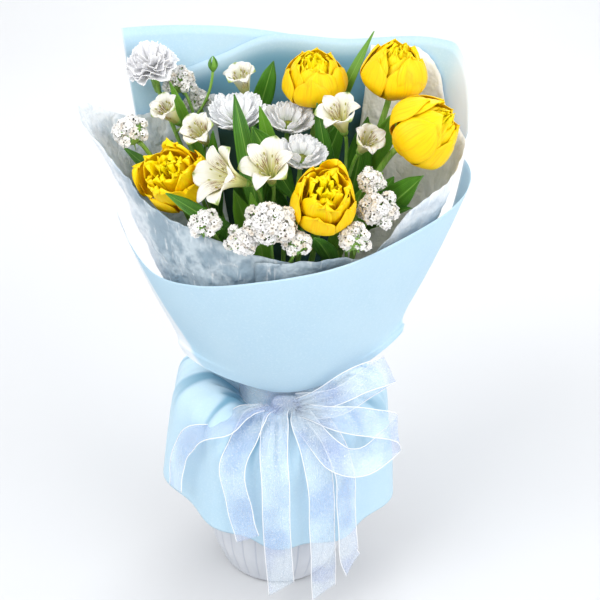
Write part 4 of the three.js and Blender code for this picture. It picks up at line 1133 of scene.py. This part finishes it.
# More petals between the source's layers and in the heart.
TULIP_HEART = table(TULIP_PETALS, (
    (4, 0.88, 1.0, 0.56, 60, (0.28, 0.2)),
    (6, 0.64, 0.97, 0.32, 55, (0.22, 0.3)),
    (6, 0.4, 0.98, 0.24, 40, (0.16, 0.5)),
    (5, 0.24, 1.0, 0.2, 5, (0.1, 0.6)),
    (3, 0.1, 0.98, 0.2, 30, (0.05, 0.6)),
))
TULIP_CORE = {"share": 0.42, "lift": 0.7, "squash": 0.75}
BALL_POLE = 0.851
# Each bloom's middle, the way it looks, its size and how open it is; then frill (1 is a full double), how
# pointed its petals are and how far its mouth closes.
TULIPS = table("centre axis radius height opening frill point close", (
    ((-86, -34, 409), (-0.35, -0.55, 0.75), 27, 44, 0.95, 1.0, 0.5, 0.0),
    ((22, 32, 472), (-0.05, -0.25, 1), 27, 44, 0.9, 0.5, 0.75, 0.3),
    ((86, 20, 484), (0.12, -0.18, 1), 27, 46, 0.85, 0.5, 0.8, 0.35),
    ((107, -29, 453), (0.7, -0.3, 0.66), 30, 53, 0.8, 0.2, 0.85, 0.45),
    ((31, -75, 411), (0.05, -0.6, 0.8), 25, 48, 0.9, 1.0, 0.5, 0.05),
))


def tulip_petal(layer, k, tulip, random, inner):
    """One cupped petal as a grid: broad, with a rounded or pointed tip and a softly waved edge."""
    radius, frill, outermost = tulip["radius"], tulip["frill"], layer["radius"] == 1
    angle = layer["turn"] + 360 * k / layer["count"] + 8 * (random() - 0.5)
    tall = tulip["height"] * layer["height"] * (0.94 + 0.12 * random())
    wide = radius * layer["radius"]
    ruffle = 1.6 * (random() - 0.5)
    root_out, root_up = layer["root"]
    phase = 6.3 * random() if inner else 6.3 * ((k * 0.37 + layer["turn"] * 0.11) % 1)
    tall *= 1 - 0.1 * frill * outermost
    if inner:
        tall *= 1 + 0.24 * frill * (random() - 0.45)
        wide *= 1 + 0.55 * frill * (random() - 0.5)
        angle += 40 * frill * (random() - 0.5)
    v, s = petal_shares(31, 17)
    v = 1 - (1 - v) ** 1.7
    mouth = wide * tulip["opening"] * (1 - tulip["close"] * (0.5 if outermost else 1))
    below = ((0, root_out * radius), (0.3, wide * 0.8), (0.55, wide))
    r = along((*below, (0.8, mix(wide, mouth, 0.4)), (1, mouth)), v)
    up = along(((0, 0), (0.3, 0.2), (0.55, 0.45), (0.8, 0.78), (1, 1)), v)
    rounded = np.maximum(1 - np.clip((v - 0.62) / 0.38, 0, 1) ** 2, 0.0004) ** tulip["point"]
    half = along(((0, 0.12), (0.3, 0.66), (0.55, 0.98), (1, 1.05)), v) * rounded * radius * layer["width"]
    turn = np.radians(angle) + s * half / np.maximum(r, 0.25 * radius)
    ripple = (0.1 if inner else 0.05) * v ** 3 * np.sin(4.5 * s + phase)
    wave = frill * radius * (ripple + 0.03 * v * s * s * np.sin(9 * v + phase))
    shingle = (0.03 * s * radius + ruffle * s * s) * v + wave
    crease = 0.02 * radius * np.exp(-(s / 0.16) ** 2) * smoothstep(v, 0.2, 0.6)
    crimp = 0.02 * frill * radius * v ** 4 * np.sin(7 * s + phase)
    height = mix(root_up * tulip["height"], tall, up) - s * s * 2.2 * v + crimp
    return polar(turn, r + shingle + crease, 0, height), v, s


def make_tulips():
    for seed, tulip in enumerate(TULIPS, 1):
        name, axis = f"tulip_{seed}", tulip["axis"]
        random = random_stream(seed)
        base = offset(tulip["centre"], axis, -tulip["height"] / 2)
        place = Place(base, axis, seed * 23)
        piece = Piece(f"{name}_bloom", "tulip_petal", "tulip", "stem")
        for depth, layer in enumerate(TULIP_LAYERS + TULIP_HEART):
            inner = depth >= len(TULIP_LAYERS)
            for k in range(layer["count"]):
                grid, v, s = tulip_petal(layer, k, tulip, random, inner)
                tone = random() if inner else (k * 0.61 + seed * 0.27) % 1
                piece.blade(place(grid), THICK["tulip"], (v, s, tone, 1 - layer["radius"]))
        core = tulip["radius"] * TULIP_CORE["share"]
        middle = core * TULIP_CORE["lift"]
        low = core * TULIP_CORE["squash"] * BALL_POLE
        piece.turned(ball_profile(core, low, 13, middle), 24, place, 0.4, layer=0.3)
        piece.finish(name)
        make_green(name, [(offset(base, axis, middle - low - GAP), axis)])


# ---------------------------------------------------------------- alstroemerias

THROAT_HALF = 3.2
# The florets of each spray: middle, the way it looks, radius, and how wide it opens for that radius.
ALSTROEMERIAS = {
    "alstroemeria_1": (
        ((-97, 16, 447), (-0.45, -0.5, 0.75), 19, 0.7),
        ((-69, -5, 437), (-0.3, -0.6, 0.75), 20, 0.75),
    ),
    "alstroemeria_2": (
        ((-43, -66, 426), (-0.75, -0.5, 0.45), 26, 1.0),
        ((-12, -53, 427), (-0.15, -0.55, 0.8), 24, 0.95),
    ),
    "alstroemeria_3": (((-38, 44, 466), (-0.2, -0.35, 0.93), 20, 0.7),),
    "alstroemeria_4": (
        ((43, -12, 456), (-0.25, -0.45, 0.85), 22, 0.85),
        ((64, -22, 440), (0.3, -0.6, 0.75), 19, 0.75),
    ),
}


def tepal(k, radius, length, mouth, random):
    """Broad outer tepals and narrow inner ones, in turn, that rise as a trumpet and roll back at the tip."""
    wide = radius * (0.28 if k % 2 else 0.4)
    angle = math.radians(60 * k + 8 * (random() - 0.5))
    reach = radius * (0.9 + 0.2 * random())
    ring = radius * (0.84 if k % 2 else 1)
    v, s = petal_shares(23, 11)
    out = along(((0, 2.2), (0.4, ring * 0.28), (0.75, ring * 0.64 * mouth), (1, reach * mouth)), v)
    up = along(((0, 0), (0.4, length * 0.48), (0.75, length * 0.86), (1, length)), v)
    half = along(((0, 1.1), (0.4, wide * 0.5), (0.7, wide), (0.9, wide * 0.72), (1, 0.5)), v)
    lift = 0.25 * half * s * s + 0.04 * radius * v ** 3 * np.sin(6 * s + k * 2)
    return polar(angle, out - 0.5 * lift, s * half, up + lift - 0.09 * length * v ** 7), v, s


def stamens(piece, place, radius, length, mouth, random):
    for k in range(6):
        angle = math.radians(60 * k + 30 + 20 * random())
        end = radius * mouth * (0.28 + 0.2 * random())
        tip = (end * math.cos(angle), end * math.sin(angle), length * (0.78 + 0.12 * random()))
        bend = (0.3 * tip[0], 0.3 * tip[1], 0.6 * length)
        line = bezier(((0, 0, 2), bend, tip), np.linspace(0, 1, 9))
        piece.rod(place(line), 0.28, sides=6)
        anther = np.array([tip, np.array(tip) + (0.6 * math.cos(angle), 0.6 * math.sin(angle), 1.8)])
        piece.rod(place(anther), 0.55, 0.8, sides=6, paint=2)


def make_floret(name, seed, centre, axis, radius, mouth):
    """One floret; gives back the end of its green throat, where the branch starts, and its axis."""
    random = random_stream(seed)
    length = radius * 1.4
    base = offset(centre, axis, -length * 0.55)
    place = Place(base, axis, seed * 31)
    piece = Piece(name, "white_petal", "tepal", "stem", "eye")
    for k in range(6):
        grid, v, s = tepal(k, radius, length, mouth, random)
        piece.blade(place(grid), THICK["tepal"], (v, s, random_stream(seed * 6 + k)(), k % 2))
    throat = [(1.6, -THROAT_HALF), (2.6, -1), (3.4, 1), (3.4, THROAT_HALF), (0.3, THROAT_HALF)]
    piece.turned(throat, 18, place, 0.4, paint=1)
    stamens(piece, place, radius, length, mouth, random)
    piece.finish(name.replace("_floret_", "_"))
    return offset(base, axis, -THROAT_HALF - GAP), axis


def make_alstroemerias():
    for i, (name, florets) in enumerate(ALSTROEMERIAS.items()):
        seeds = range(10 * i + 3, 10 * i + 3 + len(florets))
        ends = [make_floret(f"{name}_floret_{letter}", seed, *floret)
                for letter, seed, floret in zip("ab", seeds, florets)]
        make_green(name, ends)


# ---------------------------------------------------------------- carnation

CARNATION = {"centre": (-113, 40, 476), "axis": (-0.15, -0.35, 0.93), "radius": 23, "bud": (-62, 37, 483)}
CARNATION_CORE = {"share": 0.42, "squash": 0.85}
CARNATION_LAYERS = table("count reach rise width", (
    (7, 1, 0.06, 0.5),
    (7, 0.93, 0.2, 0.5),
    (6, 0.84, 0.36, 0.52),
    (6, 0.7, 0.52, 0.54),
    (5, 0.54, 0.66, 0.6),
    (4, 0.36, 0.76, 0.7),
))


def fringed_petal(layer, k, radius, random):
    """A broad fan-shaped petal with a finely toothed edge and a ruffle that grows towards it."""
    angle = math.radians(360 * k / layer["count"] + 225 * layer["rise"] + 12 * (random() - 0.5))
    reach = radius * layer["reach"] * (0.9 + 0.2 * random())
    phase = 6.3 * random()
    v, s = petal_shares(17, 57)
    teeth = 0.045 * np.abs(np.sin(21 * s + phase)) * v ** 8 + 0.03 * np.sin(5 * s + phase) * v ** 3
    out = mix(radius * 0.12, reach * (1 - 0.2 * s * s), v) - reach * teeth
    half = mix(1.2, layer["width"] * reach, v ** 0.8)
    wave = 0.13 * v ** 1.5 * np.sin(4 * s + phase) + 0.035 * v ** 3 * np.sin(10 * s + 2 * phase)
    up = radius * (layer["rise"] * (0.25 + 0.75 * v) + wave + 0.1 * v * v)
    return polar(angle, out, s * half, up), v, s


def carnation_greens(piece, stem, top):
    """The calyx, and the bud on a twig of its own."""
    calyx = [(1.9, -17), (2.9, -15), (3.4, -9), (3.5, -3), (3.1, -0.4), (0.3, -0.2)]
    piece.turned(calyx, 20, Place(top, CARNATION["axis"]), 0.6)
    bud = np.array(CARNATION["bud"], float)
    twig = bezier((stem.at(0.72), bud - (0, 0, 40), bud), np.linspace(0, 1, 16))
    piece.rod(twig, 1.2, sides=8)
    v, s = petal_shares(15, 7)
    r = along(((0, 1.4), (0.35, 3.9), (0.7, 3.2), (1, 0.5)), v)
    for k in range(5):
        spin = math.radians(72 * k)
        sepal = polar(spin + s * mix(0.75, 0.35, v), r, 0, mix(-6.3, 6.3, v)) + bud
        piece.blade(sepal, THICK["sepal"], (v, s, 0.2 * k, 0), 1)


def make_carnation():
    centre, axis, radius = (CARNATION[k] for k in ("centre", "axis", "radius"))
    random = random_stream(5)
    place = Place(centre, axis)
    piece = Piece("carnation_bloom", "white_petal", "carnation")
    for layer in CARNATION_LAYERS:
        for k in range(layer["count"]):
            grid, v, s = fringed_petal(layer, k, radius, random)
            piece.blade(place(grid), THICK["carnation"], (v, s, random(), 0))
    core = radius * CARNATION_CORE["share"]
    low = core * CARNATION_CORE["squash"] * BALL_POLE
    piece.turned(ball_profile(core * 0.9, low, 10, top=80), 20, place, 0.4)
    piece.finish("carnation")
    top = offset(centre, axis, -low - GAP)
    make_green(
        "carnation", [(top, axis)],
        lambda green, stem: carnation_greens(green, stem, top),
    )


# ---------------------------------------------------------------- daisies

DAISIES = table("centre axis radius", (
    ((-40, 11, 443), (-0.1, -0.3, 0.95), 26),
    ((1, 11, 440), (0.1, -0.3, 0.95), 22),
    ((13, -27, 426), (0.1, -0.3, 0.95), 21.5),
))
DAISY = {"hole": 3.2, "eye": 5.2, "ring": 6.5, "knobs": 70}
# The rows of petals: count, share of the radius, rise. The last two stand round the eye, and only here.
DAISY_ROWS = ((9, 1.0, 0.0), (9, 0.94, 0.8), (8, 0.66, 1.6), (7, 0.5, 2.2))


def ray_petal(angle, reach, radius, rise, droop):
    """A broad blunt ray petal with two grooves along it, cupped upwards; the short ones stand up more."""
    short = rise > 1
    root, slim, steep = (DAISY["eye"] + 1, 0.7, 0.24) if short else (DAISY["hole"] + 1.2, 1, 0.12)
    v, s = petal_shares(21, 13)
    waves = np.cos(3 * np.pi * s)
    out = mix(root, reach * (1 - 0.035 * waves * v ** 8), v)
    half = along(((0, 0.06), (0.4, 0.17), (0.78, 0.21), (0.94, 0.16), (1, 0.05)), v) * radius * slim
    cup = along(((0, 0), (0.5, steep), (1, 0.46)), v) * radius + droop * v
    grooves = 0.3 * waves * smoothstep(v, 0, 0.3)
    return polar(angle, out, s * half, rise + cup + grooves + 0.04 * radius * s * s * v), v, s


def daisy_eye(piece, daisy):
    """The calyx, the neck through the petals, and an eye set with small knobs."""
    place = Place(daisy["centre"], daisy["axis"])
    eye, face, neck = DAISY["eye"], 1 + GAP, DAISY["hole"] - 1.7 * GAP
    calyx = [(0.3, -4.5), (3.4, -3.2), (4.4, -face), (neck, -face + 0.02)]
    dome = [(neck, face), (eye, face + 0.02), (eye * 0.85, 2.6), (0.3, 3.4)]
    piece.turned(calyx + dome, 22, place, 0.3)
    for k in range(DAISY["knobs"]):
        out, turn = eye * math.sqrt((k + 0.5) / DAISY["knobs"]), k * GOLDEN_TURN
        foot = np.array((out * math.cos(turn), out * math.sin(turn), 3.3 - 1.9 * (out / eye) ** 2))
        knob = place(np.array([foot, foot + (0, 0, 0.9)]))
        piece.rod(knob, (0.42, 0.3), 1 - out / eye, sides=6, paint=2)


def make_daisies():
    for seed, daisy in enumerate(DAISIES, 1):
        name, axis, radius = f"daisy_{seed}", daisy["axis"], daisy["radius"]
        random = random_stream(seed + 40)
        place = Place(daisy["centre"], axis, seed * 7)
        piece = Piece(f"{name}_petals", "white_petal", "daisy")
        for row, (count, share, rise) in enumerate(DAISY_ROWS):
            for k in range(count):
                angle = 2 * math.pi * (k + 0.45 * row) / count + 0.1 * (random() - 0.5)
                reach = radius * share * (0.86 + 0.16 * random())
                grid, v, s = ray_petal(angle, reach, radius, rise - 0.5, 2.6 * (random() - 0.4))
                piece.blade(place(grid), THICK["daisy"], (v, s, random(), 0))
        hole, ring, half, turn = DAISY["hole"], DAISY["ring"], 0.8, full_turn(36)
        section = np.array([(hole, -half), (ring, -half), (ring, half), (hole, half), (hole, -half)])
        r, z = section.T[:, :, None]
        disc = place(stack(r * np.cos(turn), r * np.sin(turn), z))
        piece.add(disc, grid_faces(5, 36, True), (0, 0, 0.5, 0))
        piece.finish(name)
        end = (offset(daisy["centre"], axis, -3.6), axis)
        make_green(name, [end], lambda green, _, daisy=daisy: daisy_eye(green, daisy))


# ---------------------------------------------------------------- statice

# The heads of each plant: middle and radius.
STATICES = {
    "statice_1": (((-92, 47, 462), 15), ((-78, 55, 444), 12)),
    "statice_2": (((-124, -11, 438), 16),),
    "statice_3": (((-59, -81, 392), 13),),
    "statice_4": (
        ((-10, -88, 398), 20),
        ((-30, -89, 383), 14),
        ((12, -92, 383), 12),
    ),
    "statice_5": (
        ((74, -66, 402), 18),
        ((55, -86, 386), 14),
        ((68, -50, 418), 13),
    ),
}
STATICE = {"florets": 12, "core": 0.6, "lumps": 0.3, "cup": 2.3, "tuft": 0.38, "bracts": 70}


def statice_axis(centre):
    x, y, _ = centre
    far = math.hypot(x, y)
    return (0.9 * x / far, 0.9 * y / far, 1)


def papery_cup(size, random):
    """A five-lobed funnel, open at the top and pinched at its foot."""
    v, turn = np.linspace(0, 1, 6)[:, None], full_turn(20)
    lobes = 1 + 0.2 * v * np.cos(5 * turn + 6 * random())
    r = size * along(((0, 0.18), (0.4, 0.42), (0.75, 0.8), (1, 1.05)), v) * lobes
    z = size * (1.25 * v - 0.25 * v * v * (1 - 0.5 * np.cos(5 * turn)))
    return stack(r * np.cos(turn), r * np.sin(turn), z), v


def ball_direction(k, count, depth, seed):
    """The way to point k of a golden-angle ball that is left open below z = 1 - depth."""
    z, turn = 1 - depth * (k + 0.5) / count, k * GOLDEN_TURN + seed
    flat = math.sqrt(1 - z * z)
    return np.array((flat * math.cos(turn), flat * math.sin(turn), z))


def statice_lumps(radius, seed):
    """Where the source sets its florets: a direction out of the core and a reach for each."""
    random = random_stream(seed)
    for k in range(STATICE["florets"]):
        reach = radius * (1.12 - STATICE["lumps"] * random())
        random()
        yield ball_direction(k, STATICE["florets"], 1.45, seed), reach


def random_way(random):
    return np.array((random() - 0.5, random() - 0.5, random() - 0.5))


def statice_head(piece, centre, radius, seed):
    """A tuft of small cups where the source sets each floret, on stalks out of a green core with bracts."""
    random = random_stream(seed + 90)
    centre = np.array(centre, float)
    core = radius * STATICE["core"]
    bowl = ball_profile(core, core * BALL_POLE, 11)
    piece.turned(bowl, 20, Place(centre, statice_axis(centre)), 0.8, paint=1)
    for _ in range(STATICE["bracts"]):
        direction = unit(random_way(random))
        foot = centre + direction * core * 0.8
        tip = foot + (direction + 0.8 * unit(random_way(random))) * 0.2 * radius
        piece.rod(np.array([foot, tip]), (0.9, 0.25), random(), sides=5, paint=1)
    for direction, reach in statice_lumps(radius, seed):
        tuft = radius * STATICE["tuft"] * (0.7 + 0.6 * random())
        middle = centre + direction * (reach - tuft)
        stalk = np.array([centre + direction * core * 0.7, middle + direction * 0.4 * tuft])
        piece.rod(stalk, 0.8, sides=6, paint=1)
        statice_tuft(piece, Place(middle, direction), tuft, seed, random)


def statice_tuft(piece, place, tuft, seed, random):
    """Cups set over a small ball, each leaning its own way; three in ten have a dark speck."""
    count = int(2.1 * (tuft / STATICE["cup"]) ** 2)
    for k in range(count):
        out = ball_direction(k, count, 1.15, seed)
        size = STATICE["cup"] * (0.8 + 0.4 * random())
        foot = place(out * (tuft - 1.1 * size) * (0.8 + 0.4 * random()))
        lean = place.turn @ out + 0.5 * random_way(random)
        cup, v = papery_cup(size, random)
        speck = 1.0 if random() < 0.3 else 0.0
        cup = Place(foot, lean, 360 * random())(cup)
        piece.blade(cup, THICK["papery"], (v, speck, random(), 0), closed=True)


def make_statices():
    for i, (name, heads) in enumerate(STATICES.items()):
        piece = Piece(f"{name}_heads", "papery_floret", "papery", "stem")
        ends = []
        for seed, (centre, radius) in enumerate(heads, 7 * i + 1):
            statice_head(piece, centre, radius, seed)
            axis = statice_axis(centre)
            ends.append((offset(centre, axis, -radius * STATICE["core"] * BALL_POLE - GAP), axis))
        piece.finish(name)
        make_green(name, ends)


# ---------------------------------------------------------------- camera, floor and lights


def make_camera():
    pitch, roll = math.radians(CAMERA["pitch"]), math.radians(CAMERA["roll"])
    forward = Vector((0, math.cos(pitch), -math.sin(pitch)))
    level = Vector((1, 0, 0))
    above = Vector((0, math.sin(pitch), math.cos(pitch)))
    right = math.cos(roll) * level + math.sin(roll) * above
    up = -math.sin(roll) * level + math.cos(roll) * above
    data = bpy.data.cameras.new("camera")
    data.lens, data.sensor_width = CAMERA["lens"], CAMERA["sensor"]
    camera = add_object("camera", data)
    turn = Matrix((right, up, -forward)).transposed().to_4x4()
    camera.matrix_world = Matrix.Translation(Vector(CAMERA["place"]) * MM) @ turn
    bpy.context.scene.camera = camera


FLOOR = {"front": -4000, "near": 100, "bend": 1600, "round": 900, "top": 4000, "half_width": 4500}


def make_floor():
    """A pale floor that rises into a backdrop behind the bunch, with painted light that makes its far end
    lighter.
    """
    shade = Shade("pale_floor", roughness=0.6, specular_ior_level=0.2)
    near = shade.blend(shade.grain(3, 2), (0.62, 0.63, 0.645), (0.64, 0.65, 0.665))
    # Painted light: the floor turns lighter from just behind the bunch to the backdrop, which is lighter all
    # over.
    colour = shade.blend(shade.number("along"), near, (0.79, 0.80, 0.81))
    shade.feed(shade.surface.inputs["Base Color"], colour)
    bend, r = FLOOR["bend"], FLOOR["round"]
    cove = [(bend + r * math.sin(a), r - r * math.cos(a)) for a in np.radians(range(10, 91, 10))]
    run = [(FLOOR["front"], 0), (FLOOR["near"], 0), (bend, 0), *cove, (bend + r, FLOOR["top"])]
    ends = (-FLOOR["half_width"], FLOOR["half_width"])
    points = [(x * MM, y * MM, z * MM) for y, z in run for x in ends]
    faces = [(2 * i, 2 * i + 1, 2 * i + 3, 2 * i + 2) for i in range(len(run) - 1)]
    mesh = bpy.data.meshes.new("floor")
    mesh.from_pydata(points, [], faces)
    mesh.materials.append(shade.material)
    far = [float(i > 1) for i in range(len(run)) for _ in ends]
    mesh.attributes.new("along", "FLOAT", "POINT").data.foreach_set("value", far)
    mesh.polygons.foreach_set("use_smooth", [True] * len(faces))
    add_object("floor", mesh)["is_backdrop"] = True


# name: place in metres, side in metres, watts and colour
LIGHTS = {
    "key": ((-1.1, -1.0, 1.8), 1.1, 24, (1.0, 0.99, 0.97)),
    "fill": ((1.5, -1.2, 1.2), 1.6, 22, (1.0, 1.0, 1.0)),
    "back": ((0.3, 1.3, 1.6), 1.2, 15, (1.0, 1.0, 1.0)),
}


def make_lights():
    target = Vector((0, 0, 0.3))
    for name, (place, side, watts, colour) in LIGHTS.items():
        data = bpy.data.lights.new(name, "AREA")
        data.size, data.energy, data.color = side, watts, colour
        light = add_object(name, data)
        light.location = place
        light.rotation_euler = (target - Vector(place)).to_track_quat("-Z", "Y").to_euler()
    world = bpy.data.worlds.new("studio")
    world.use_nodes = True
    background = world.node_tree.nodes["Background"].inputs
    background["Color"].default_value = (0.97, 0.98, 1.0, 1)
    background["Strength"].default_value = 0.87
    bpy.context.scene.world = world
    bpy.context.scene.view_settings.view_transform = "Standard"


# ---------------------------------------------------------------- the whole bunch

make_vase()
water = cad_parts["water"].data.materials
water.clear()
water.append(LOOK["water"])
make_tie()
make_wrap_sheets()
make_skirt()
make_ribbon()
make_tulips()
make_alstroemerias()
make_carnation()
make_daisies()
make_statices()
make_camera()
make_floor()
make_lights()

boxes = {"cad": CAD_BOX, "visual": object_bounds()}
{name: [list(corner) for corner in box] for name, box in boxes.items()}
